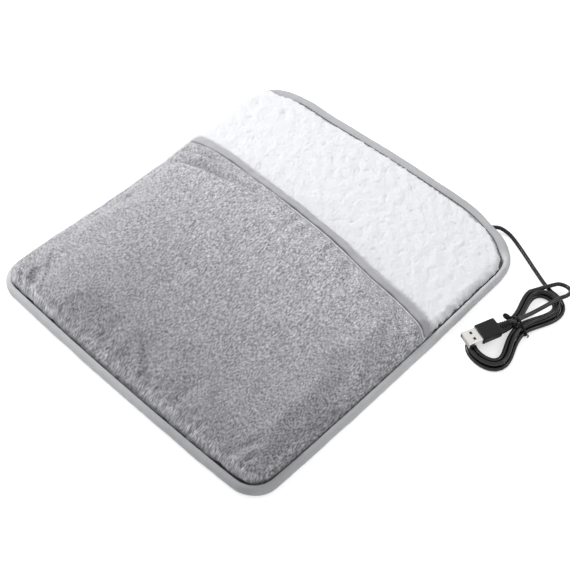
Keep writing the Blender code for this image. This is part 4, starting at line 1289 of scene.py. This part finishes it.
class WARMER_OT_foot_bed(bpy.types.Operator):
    """Grows the curly fleece of the foot bed, which leans over the binding at the heel"""

    bl_idname = "warmer.foot_bed"
    bl_label = "Foot bed"

    def execute(self, context):
        mat, pocket = context.scene.warmer_mat, context.scene.warmer_pocket
        look = fleece("fleece", mat.pile_colour)
        joint = pocket.mouth - 0.030
        self.make_bed("foot_bed", mat, pocket, look, joint - 2 * mat.pile_step, None, mat.pile_step)
        self.make_bed("foot_bed_inner", mat, pocket, look, None, joint, 0.0014)
        return {"FINISHED"}

    def overhang(self, mat, x, y):
        """How far the pile leans out over the seam, from round the rim to the left and the heel."""
        seam = seam_inset(mat)
        right_heel = ease_in((y - 0.40 * mat.length + 0.08 * x) / (0.05 * mat.length))
        left_heel = ease_in((x + 0.119) / 0.010) * (y > 0.30 * mat.length)
        heel = np.where(x < 0, left_heel, right_heel)
        side = np.where(x < 0, seam - 0.0012, seam - mat.near_seam - hair)
        lean = side * (1 - heel) + 0.0006 * heel
        ragged = noises(x, y, 0, (0.0014, 0.0055, 41), (0.0011, 0.0026, 42))
        return lean + ragged - 0.0002

    def make_bed(self, name, mat, pocket, look, start, end, step):
        """One stretch of the foot bed between two places along the mat."""
        seam = seam_inset(mat)
        exposed = end is None
        radius = (mat.heel_radius if exposed else mat.toe_radius) - seam
        far = mat.length / 2 - seam if exposed else seam - mat.length / 2
        y_start, y_end = (start, far) if exposed else (far, end)
        rows = whole_steps(y_end - y_start, step)
        columns = whole_steps(mat.width - 2 * seam, step)
        nominal = np.linspace(y_start, y_end, rows + 1)[:, None]
        share = np.linspace(-1, 1, columns + 1)[None, :]
        depth = np.abs(far - nominal)
        pull = corner_pull(radius, depth)
        bow = mat.end_bow * ease_in(1 - depth / 0.08)
        y = nominal - np.sign(far) * bow * share ** 2
        x = share * (half_width(mat, y) - seam - pull)
        if exposed:
            x, y = self.lean_out(mat, x, y, share, nominal, far)
        inset = edge_distance(mat, x, y)
        mouth = mouth_line(mat, pocket, x)
        under = ease_in((mouth + 0.008 - y) / 0.012)
        space = foot_space(mat, pocket, x, y)
        open_lift, rim_rounding = 0.0004, 0.0050
        open_level = bed_high.z + open_lift
        covered_level = bed_high.z - rim_dip * ease_in(1 - (inset - seam) / rim_dip_reach) + 0.18 * space
        level = open_level + (covered_level - open_level) * under
        height = curls(x, y, mat.curl)
        pile = mat.pile * height * (1 - under) + (0.0004 + 0.22 * space) * height * under
        if exposed:
            from_band = y - mouth - band_reach(pocket, np.clip(share, -1, 1))
            brim = hump(from_band + 0.0004, 0.0022)
            pile = pile + brim * (0.0007 + noises(x, y, 0, (0.0011, 0.0046, 43), (0.0006, 0.0022, 44)))
        tape = tape_inset(mat, x, y)
        over_roll = np.where(inset < seam, roll_level(mat, np.maximum(inset, 0), tape) + 2 * hair, 0.0)
        floor_level = np.maximum(over_roll, bed_low.z + 0.0010)
        top = level + pile
        if exposed:
            rim = self.rim_distance(rows, columns, step)
            rounding = np.sqrt(1 - (1 - np.clip(rim / rim_rounding, 0, 1)) ** 2)
            rounding = rounding * (1 - under) + under
            top = floor_level + (top - floor_level) * (0.06 + 0.94 * rounding)
        x, y = settle(mat, x, y)
        surface = np.stack((x, y, np.maximum(top, floor_level + 2 * hair)), axis=-1)
        below = np.stack((x, y, floor_level), axis=-1)[::coarse, ::coarse]
        bed = closed_cloth(name, surface, below, look)
        if exposed:
            shadow = hump(np.maximum(from_band, 0), 0.0026) * (1 - under)
            height = height * (1 - 0.85 * shadow)
        add_value(bed, "pile", height.ravel())
        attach(bed, "mat")
        if exposed:
            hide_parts("base_sherpa_lining")

    def lean_out(self, mat, x, y, share, nominal, far):
        """Stretches the grid's outer part over the binding, by the overhang of each place."""
        lean = self.overhang(mat, x, y)
        side = np.clip((np.abs(share) - 0.80) / 0.20, 0, 1) ** 1.5
        heel = np.clip(1 - (far - nominal) / 0.024, 0, 1) ** 1.5
        corner_turn = np.arctan2(np.maximum(heel, 0), np.maximum(side, 1e-6))
        reach = np.maximum(side, heel)
        out_x = np.sign(x) * np.cos(corner_turn)
        out_y = np.sin(corner_turn)
        return x + out_x * lean * reach, y + out_y * lean * reach

    def rim_distance(self, rows, columns, step):
        """Distance of each grid point to the side and heel borders, in metres."""
        row = np.arange(rows + 1)[:, None]
        column = np.arange(columns + 1)[None, :]
        return np.minimum(np.minimum(column, columns - column), rows - row) * step


plush_thickness = 0.0013
plush_puff_power = 2.4
lining_step = 0.0015
lining_lift = 0.0007
lining_rise_share = 0.75
lining_thickness = 0.0008
swell_frames = 20

# Creases: from and to, as shares of the half width and half length; their width and height.
plush_folds = (
    ((-0.89, 0.175, -0.64, 0.210), 0.0032, 0.0034),
    ((-0.86, 0.080, -0.34, 0.175), 0.0046, 0.0042),
    ((-0.52, 0.060, -0.24, 0.130), 0.0050, 0.0012),
    ((-0.80, -0.73, -0.66, -0.93), 0.0018, 0.0011),
    ((-0.80, -0.84, -0.75, -0.93), 0.0024, 0.0018),
    ((-0.02, -0.80, 0.12, -0.93), 0.0030, 0.0019),
    ((0.72, -0.93, 0.80, -0.79), 0.0030, 0.0022),
    ((0.84, -0.90, 0.90, -0.945), 0.0018, 0.0013),
)

# Lines along the mouth: distance back from its seam, width, and height of the plush there.
mouth_grooves = ((0.0, 0.0006, -0.0008), (0.0011, 0.0005, 0.0004), (0.0022, 0.0005, -0.0007))


class WARMER_OT_pocket(bpy.types.Operator):
    """Sews the plush foot pocket, its lining and the band along its mouth"""

    bl_idname = "warmer.pocket"
    bl_label = "Foot pocket"

    def execute(self, context):
        mat, pocket = context.scene.warmer_mat, context.scene.warmer_pocket
        plush_look = plush("plush", pocket.colour)
        lining_look = fleece("pocket_fleece", mat.pile_colour)
        band_look = velour("band_velour", pocket.band_colour, 0.06, 0.0005)
        thread_look = woven_cloth("mouth_thread", (0.20, 0.20, 0.21), 0.0003)
        moves = self.swell(context, mat, pocket)
        for name, side in (("left", -1), ("right", 1)):
            self.make_cover(mat, pocket, name, side, plush_look, moves)
            self.make_lining(mat, pocket, name, side, lining_look)
            self.make_band(mat, pocket, name, side, band_look)
            self.make_mouth_stitches(mat, pocket, name, side, thread_look)
        return {"FINISHED"}

    def cover_insets(self, mat, side):
        """How far inside the edge the plush starts, at the side and at the toe."""
        return (0.0042 if side < 0 else mat.near_seam - 2 * hair), mat.near_seam - 4 * hair

    def grid(self, mat, pocket, side, step, side_inset, toe_inset):
        """Places of one half of the pocket, from its toe seam to its mouth."""
        rows = whole_steps(pocket.mouth + mat.length / 2 - toe_inset, step)
        columns = whole_steps(mat.width / 2 - side_inset, step)
        t = np.linspace(0, 1, rows + 1)[:, None]
        share = side * np.linspace(0, 1, columns + 1)[None, :]
        return (*self.places(mat, pocket, share, t, side_inset, toe_inset), share, t)

    def places(self, mat, pocket, share, t, side_inset, toe_inset):
        """Where the pocket's cloth lies, by its share of the half width and of the way to the mouth."""
        toe = toe_inset - mat.length / 2
        radius = mat.toe_radius - toe_inset + np.where(share < 0, -0.003, 0.002)
        nominal = toe + (pocket.mouth - toe) * t
        depth = nominal - toe
        pull = corner_pull(radius, depth)
        y = nominal + mouth_shift(pocket, share) * t + mat.end_bow * share ** 2 * (1 - t) ** 4
        return share * (half_width(mat, y) - side_inset - pull), y

    def swell(self, context, mat, pocket):
        """How each place of the pad moves when its filling swells it against its sewn rim."""
        rows, columns = 44, 64
        share = np.linspace(-1, 1, columns + 1)[None, :]
        t = np.linspace(0, 1, rows + 1)[:, None]
        halves = []
        for side in (-1, 1):
            x, y = self.places(mat, pocket, share, t, *self.cover_insets(mat, side))
            halves.append(np.stack((x, y, self.cover_level(mat, pocket, side, x, y)[0]), axis=-1))
        start = np.where(share[..., None] < 0, *halves)
        below = start[::coarse, ::coarse] - np.array((0, 0, 0.003))
        pad = closed_cloth("pad_to_swell", start, below, wadding("pad_fibre", mat.pile_colour))
        number = np.arange((rows + 1) * (columns + 1)).reshape(rows + 1, columns + 1)
        sewn = np.concatenate((number[0], number[-1], number[:, 0], number[:, -1],
                               np.arange(number.size, len(pad.data.vertices))))
        pad.vertex_groups.new(name="sewn").add(sewn.tolist(), 1.0, "REPLACE")
        cloth = pad.modifiers.new("cloth", "CLOTH")
        cloth.settings.quality = 6
        cloth.settings.mass = 0.25
        cloth.settings.tension_stiffness = 12
        cloth.settings.compression_stiffness = 12
        cloth.settings.bending_stiffness = 0.4
        cloth.settings.shrink_min = -pocket.slack
        cloth.settings.vertex_group_mass = "sewn"
        cloth.settings.use_pressure = True
        cloth.settings.uniform_pressure_force = pocket.pressure
        cloth.settings.effector_weights.gravity = 0.0
        for step in range(1, swell_frames + 1):
            context.scene.frame_set(step)
        apply_modifiers(pad)
        swollen = np.array([vertex.co for vertex in pad.data.vertices])[:number.size]
        bpy.data.objects.remove(pad)
        context.scene.frame_set(1)
        move = swollen.reshape(start.shape) - start
        size = np.linalg.norm(move, axis=-1, keepdims=True)
        return move * np.minimum(1, pocket.swell_limit / np.maximum(size, hair))

    def swollen(self, moves, share, t):
        """The pad's moves at finer places, as three grids."""
        rows, columns = np.array(moves.shape[:2]) - 1
        fine = []
        for axis in range(3):
            tall = self.spline(np.arange(rows + 1), moves[..., axis], t.ravel() * rows)
            wide = self.spline(np.arange(columns + 1), tall.T, (share.ravel() + 1) / 2 * columns)
            fine.append(wide.T)
        return fine

    def cover_level(self, mat, pocket, side, x, y):
        """Height of the plush before its nap: puffed beside the seams, crowned at the mouth."""
        depth = np.maximum(edge_distance(mat, x, y, *self.cover_insets(mat, side)), 0)
        puff = 1 - (1 - np.clip(depth / pocket.shoulder, 0, 1)) ** plush_puff_power
        low = roll_level(mat, np.maximum(edge_distance(mat, x, y), 0), mat.near_seam) - 2 * hair
        full = cover_top - pocket.cavity
        return low + (full - low) * puff + foot_space(mat, pocket, x, y), depth, puff

    def fold(self, x, y, mat, shares, width, height):
        """A soft crease with a ridge beside it, between two places given as shares of the mat."""
        half_x, half_y = mat.width / 2, mat.length / 2
        ax, ay, bx, by = shares[0] * half_x, shares[1] * half_y, shares[2] * half_x, shares[3] * half_y
        length = math.hypot(bx - ax, by - ay)
        ux, uy = (bx - ax) / length, (by - ay) / length
        along = ((x - ax) * ux + (y - ay) * uy) / length
        waver = 0.0012 * noise(x, y, 0, 0.02, 55)
        across = (x - ax) * -uy + (y - ay) * ux + waver
        fade = ease_in((along + 0.15) / 0.35) * ease_in((1.25 - along) / 0.5)
        groove = hump(across, width)
        ridge_place, ridge_width, ridge_height = -1.9 * width, 1.3 * width, 0.75
        ridge = hump(across - ridge_place, ridge_width)
        return height * fade * (ridge_height * ridge - groove)

    def relief(self, mat, x, y, depth, puff):
        """Undulations, folds and seam puckers of the plush."""
        wave = noises(x, y, 0, (0.0009, 0.045, 51), (0.00045, 0.016, 52))
        folds = np.zeros_like(x)
        for shares, width, height in plush_folds:
            folds += self.fold(x, y, mat, shares, width, height)
        near = hump(depth, 0.005)
        pucker = 0.00055 * near * noise(x, y, 0, 0.0065, 53)
        gathers = 0.0007 * noise(x, y, 0, (0.0036, 0.030, 1.0), 56)
        gathers = gathers * hump(y + mat.length / 2, 0.024)
        lip = 0.0005 * hump(depth - 0.0009, 0.0006) - 0.0006 * hump(depth - 0.0021, 0.0005)
        return (wave + folds + gathers) * puff + pucker + lip, folds

    def mouth_ditch(self, mat, pocket, x, y):
        """How the plush is drawn down into the seam of the mouth, with a pressed ridge before it."""
        back = mouth_line(mat, pocket, x) - y
        lines = sum(height * hump(back - place, width) for place, width, height in mouth_grooves)
        return (0.25 + 0.75 * self.pressed(x)) * lines

    def pressed(self, x):
        """How hard the band's seam presses the plush down: not at its left end, fully past the middle."""
        return ease_in((x + 0.035) / 0.030)

    def nap(self, x, y):
        """Short brushed tufts of the plush, from 0 to 1."""
        across = x + 0.0020 * noise(x, y, 0, 0.022, 61)
        long_tufts = noise(across, y, 0, (0.0008, 0.0032, 1.0), 62)
        short_tufts = noise(across, y, 0, (0.0007, 0.0021, 1.0), 63)
        return np.clip(0.5 + 0.42 * long_tufts + 0.62 * short_tufts, 0, 1)

    def tone_and_painted_light(self, mat, pocket, x, y, folds, depth):
        """How light the nap is drawn, about 1: streaky patches of tone, with painted light and shade: darker
        in folds and at seams, lighter on fold ridges, towards the heel, along the left rim and on the toe's
        lip.
        """
        slant = x - 0.25 * y
        patches = noises(slant, y, 0, (1.0, (0.009, 0.030, 1.0), 65), (0.6, (0.0035, 0.014, 1.0), 66))
        marks = noise(slant, y, 0, (0.0030, 0.022, 1.0), 67)
        toe = np.exp(-(y + mat.length / 2) / 0.030)
        streaks = noise(x, y, 0, (0.0030, 0.028, 1.0), 68)
        slope = 0.10 + 0.34 * ease_in((x + 0.10) / 0.05)
        # Painted light: lighter towards the heel and the right side
        away = 0.08 + 0.04 * x / (mat.width / 2) + slope * y / (mat.length / 2)
        # Painted light along the left rim
        left_rim = hump(x + mat.width / 2, 0.0080)
        back = mouth_line(mat, pocket, x) - y
        pressed = self.pressed(x)
        # Painted shade in the mouth's seam lines, with a painted highlight on the ridge between them
        lines = (0.18 + 0.50 * pressed) * hump(back, 0.0006)
        lines += 0.75 * pressed * hump(back - 0.0023, 0.0006)
        lines -= 0.25 * pressed * hump(back - 0.0011, 0.0005)
        # Painted shade at the plush's rim beside the binding seam
        lines += (0.15 + 0.25 * toe) * hump(depth, 0.0010) * ease_in((x + 0.125) / 0.020)
        # Painted highlight on the lip beside the toe seam
        lip = hump(depth - 0.0030, 0.0020) * toe * (1 + 0.6 * noise(x, 0, 0, 0.0060, 69))
        # Folds: painted shade in their grooves, painted light on their ridges
        return (1 + 0.07 * patches - 0.10 * ease_in((marks - 0.40) / 0.4) + away + 50 * folds
                + 0.14 * toe * streaks + 0.12 * left_rim + 0.30 * lip - lines)

    def make_cover(self, mat, pocket, name, side, look, moves):
        x, y, share, t = self.grid(mat, pocket, side, pocket.nap_step, *self.cover_insets(mat, side))
        depth = self.cover_level(mat, pocket, side, x, y)[1]
        toe_border = np.exp(-((y + mat.length / 2) / 0.016) ** 2 - (depth / 0.0035) ** 2)
        y = y - toe_border * (0.0010 * noise(x, 0, 0, 0.0130, 57) + 0.0005 * noise(x, 0, 0, 0.0045, 58))
        level, depth, puff = self.cover_level(mat, pocket, side, x, y)
        relief, folds = self.relief(mat, x, y, depth, puff)
        level = level + relief + self.mouth_ditch(mat, pocket, x, y) * puff
        tufts = self.nap(x, y)
        move_x, move_y, move_z = self.swollen(moves, share, t)
        lean = (tufts - 0.5) * pocket.nap * 0.5
        thin = ease_in(depth / 0.002) * ease_in((mouth_line(mat, pocket, x) - y - 0.0027) / 0.003)
        top = level + tufts * pocket.nap * (0.35 + 0.65 * thin)
        low_x, low_y = settle(mat, x + move_x, y + move_y)
        surface = np.stack((low_x, low_y + lean * thin, top + move_z), axis=-1)
        below = np.stack((low_x, low_y, level + move_z - plush_thickness), axis=-1)[::coarse, ::coarse]
        cover = closed_cloth(f"pocket_cover_{name}", surface, below, look)
        add_value(cover, "nap", tufts.ravel())
        # Painted light and shade on the plush, with its patches of tone
        add_value(cover, "tone_and_painted_light", self.tone_and_painted_light(mat, pocket, x, y, folds, depth).ravel())
        flat_strip = ease_in((0.0040 - mouth_line(mat, pocket, x) + y) / 0.0010)
        add_value(cover, "pressed", (0.80 * self.pressed(x) * flat_strip).ravel())
        self.hang(mat, cover, side, "plush")
        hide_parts("pocket_outer_cover", "pocket_padding")

    def make_lining(self, mat, pocket, name, side, look):
        inset = seam_inset(mat) + 3 * hair
        x, y = self.grid(mat, pocket, side, lining_step, inset, inset)[:2]
        depth = np.maximum(edge_distance(mat, x, y) - seam_inset(mat), 0)
        space = foot_space(mat, pocket, x, y)
        height = curls(x, y, mat.curl)
        seam_level = bed_high.z - rim_dip * ease_in(1 - depth / rim_dip_reach) + lining_lift
        level = seam_level + lining_rise_share * space
        below = level + (0.0002 + 0.12 * space) * (1 - height)
        x, y = settle(mat, x, y)
        surface = np.stack((x, y, below), axis=-1)
        above = np.stack((x, y, level + lining_thickness + 0.15 * space), axis=-1)[::coarse, ::coarse]
        lining = closed_cloth(f"pocket_lining_{name}", surface, above, look)
        add_value(lining, "pile", height.ravel())
        self.hang(mat, lining, side, "sherpa")
        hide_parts("pocket_sherpa_lining")

    def make_band(self, mat, pocket, name, side, look):
        """The band: over the mouth's edge, down to the pile, and back inside."""
        side_inset = self.cover_insets(mat, side)[0]
        columns = round((mat.width / 2 - side_inset) / 0.0008)
        share = side * np.linspace(0, 1, columns + 1)
        seam_y = pocket.mouth + mouth_shift(pocket, share)
        x = share * (half_width(mat, seam_y) - side_inset)
        top, depth, puff = self.cover_level(mat, pocket, side, x, seam_y)
        top = top + self.relief(mat, x, seam_y, depth, puff)[0]
        touch = np.minimum(bed_high.z + 0.35 * mat.pile, top - 0.0022)
        width = band_reach(pocket, share)
        inside = lining_bottom + 0.0036 * puff + lining_rise_share * foot_space(mat, pocket, x, seam_y)
        drop = top - touch
        controls = ((0.0, -0.0012, 0.0), (0.05, -0.0001, 0.0), (0.16, 0.0006, 0.0), (0.36, 0.0007, -0.05),
                    (0.56, 0.0003, -0.20), (0.74, 0.0, -0.43), (0.88, 0.0, -0.67), (0.97, 0.0, -0.88),
                    (0.99, 0.0, -0.97), (0.96, 0.0, -1.0), (0.88, 0.0003, -0.97), (0.70, 0.0010, -0.90))
        outer = [(along, top + rise + drop * fall) for along, rise, fall in controls]
        outer += [(0.35, inside + 0.0004), (0.0, inside)]
        knots = np.arange(len(outer))
        fine = np.linspace(0, len(outer) - 1, 72)
        reach = np.array([along * width for along, level in outer])
        level = np.array([level for along, level in outer])
        reach, level = self.spline(knots, reach, fine), self.spline(knots, level, fine)
        x_grid = np.broadcast_to(x[None, :], reach.shape)
        ripple = (0.0006 * noise(x_grid, level, 0, 0.024, 71) + 0.00030 * noise(x_grid, reach, 0, 0.007, 72)
                  + 0.00010 * noise(x_grid, reach, level, 0.0016, 73))
        y_grid = seam_y[None, :] + reach + ripple * puff[None, :]
        loops = np.stack((*settle(mat, x_grid, y_grid), level + ripple * puff[None, :]), axis=-1)
        band = add_sweep(f"mouth_band_{name}", list(np.swapaxes(loops, 0, 1)), look)
        seen = fine < 8.5
        # Painted seam shadow: the band's seen side darker next to the mouth's seam
        tone = 1 - 0.60 * seen[:, None] * hump(reach, 0.0009)
        add_value(band, "tone_and_painted_light", tone.T.ravel())
        self.hang(mat, band, side, "hem_velvet")
        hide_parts("pocket_hem_band")

    def spline(self, knots, values, places):
        """Smooth curves through rows of values, read at in-between places."""
        padded = np.concatenate((2 * values[:1] - values[1:2], values, 2 * values[-1:] - values[-2:-1]))
        index = np.minimum(places.astype(int), len(knots) - 2)
        t = (places - index)[:, None]
        a, b, c, d = (padded[index + step] for step in range(4))
        return 0.5 * (2 * b + (c - a) * t + (2 * a - 5 * b + 4 * c - d) * t ** 2
                      + (3 * b - a - 3 * c + d) * t ** 3)

    def make_mouth_stitches(self, mat, pocket, name, side, look):
        stitch, thread, sunk, gap_share = 0.0029, 0.00055, 0.0006, 0.06
        count = round((mat.width / 2 - mat.roll_width) / stitch)
        share = side * np.linspace(0.004, 0.985, count)
        y = pocket.mouth + mouth_shift(pocket, share)
        x = share * (half_width(mat, y) - self.cover_insets(mat, side)[0])
        level, depth, puff = self.cover_level(mat, pocket, side, x, y)
        level = level + self.relief(mat, x, y, depth, puff)[0] - sunk
        line = np.column_stack((*settle(mat, x, y + 2 * hair), level))
        step = line[1:] - line[:-1]
        stitches = add_capsules(f"mouth_stitches_{name}", line[:-1] + step * gap_share,
                                line[:-1] + step * (1 - gap_share), thread, look)
        self.hang(mat, stitches, side, "seam_thread")
        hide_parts("hem_seam_thread")

    def hang(self, mat, piece, side, slot_name):
        """Bakes the piece's place into its mesh."""
        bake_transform(piece)


class WARMER_OT_inside(bpy.types.Operator):
    """Closes the underside with its cloth and gives the heater's pieces inside their finishes"""

    bl_idname = "warmer.inside"
    bl_label = "Underside and heater"

    def execute(self, context):
        mat = context.scene.warmer_mat
        self.make_underside(mat)
        filling = wadding("wadding", (0.85, 0.85, 0.84))
        black = soft_plastic("black_insulation", (0.03, 0.03, 0.03), 0.5)
        looks = {
            "base_padding": filling,
            "heater_carrier_cloth": woven_cloth("carrier_cloth", (0.80, 0.80, 0.76), 0.0006),
            "heating_wire": soft_plastic("wire_insulation", (0.75, 0.28, 0.12), 0.5),
            "overheat_cutoff": plated_metal("cutoff_case", (0.45, 0.45, 0.47), 0.38),
            "cutoff_sleeve": soft_plastic("sleeve_film", (0.75, 0.70, 0.55), 0.45),
            "wire_joint_feed": black,
            "wire_joint_return": black,
            "lead_wire_feed": soft_plastic("red_insulation", (0.55, 0.03, 0.03), 0.5),
            "lead_wire_return": black,
            "link_wire": black,
            "cord_gland": soft_plastic("gland_rubber", (0.03, 0.03, 0.03), 0.6),
        }
        for name, look in looks.items():
            frame["nodes"][name].data.materials[0] = look
        return {"FINISHED"}

    def make_underside(self, mat):
        inset = mat.roll_width
        step, thickness = 0.0020, 0.0009
        columns = whole_steps(mat.width - 2 * inset, step)
        rows = whole_steps(mat.length - 2 * inset, step)
        t = np.linspace(-1, 1, rows + 1)[:, None]
        share = np.linspace(-1, 1, columns + 1)[None, :]
        far = mat.length / 2 - inset
        nominal = far * t
        radius = np.where(nominal < 0, mat.toe_radius, mat.heel_radius) - inset
        depth = far - np.abs(nominal)
        pull = corner_pull(radius, depth)
        y = nominal - np.sign(t) * mat.end_bow * share ** 2 * np.abs(t) ** 8
        x = share * (half_width(mat, y) - inset - pull)
        gather = 0.00025 + 0.00022 * noise(x, y, 0, 0.012, 81)
        surface = np.stack((x, y, np.maximum(gather, 0.0)), axis=-1)
        above = np.stack((x, y, np.full_like(x, thickness)), axis=-1)[::coarse, ::coarse]
        cloth = closed_cloth("underside_cloth", surface, above, woven_cloth("back_cloth", mat.back_colour))
        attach(cloth, "mat")
        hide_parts("base_back_panel")


class WARMER_PT_panel(bpy.types.Panel):
    """Lists the foot warmer's settings and steps"""

    bl_idname = "WARMER_PT_panel"
    bl_label = "Foot warmer"
    bl_space_type = "VIEW_3D"
    bl_region_type = "UI"
    bl_category = "Foot warmer"

    def draw(self, context):
        for operator in operators:
            self.layout.operator(operator.bl_idname)
        for holder, settings in settings_groups.items():
            box = self.layout.box()
            box.label(text=settings.__doc__)
            for name in settings.__annotations__:
                box.prop(getattr(context.scene, holder), name)


operators = (WARMER_OT_stage, WARMER_OT_lead, WARMER_OT_binding, WARMER_OT_foot_bed, WARMER_OT_pocket,
             WARMER_OT_inside)
settings_groups = {
    "warmer_stage": StageSettings,
    "warmer_mat": MatSettings,
    "warmer_pocket": PocketSettings,
    "warmer_lead": LeadSettings,
}


def register():
    for holder, settings in settings_groups.items():
        bpy.utils.register_class(settings)
        setattr(bpy.types.Scene, holder, PointerProperty(type=settings))
    for operator in operators:
        bpy.utils.register_class(operator)
    bpy.utils.register_class(WARMER_PT_panel)


def unregister():
    bpy.utils.unregister_class(WARMER_PT_panel)
    for operator in reversed(operators):
        bpy.utils.unregister_class(operator)
    for holder, settings in settings_groups.items():
        delattr(bpy.types.Scene, holder)
        bpy.utils.unregister_class(settings)


def main():
    register()
    bpy.ops.warmer.stage()
    bpy.ops.warmer.lead()
    bpy.ops.warmer.binding()
    bpy.ops.warmer.foot_bed()
    bpy.ops.warmer.pocket()
    bpy.ops.warmer.inside()


if __name__ == "__main__":
    main()
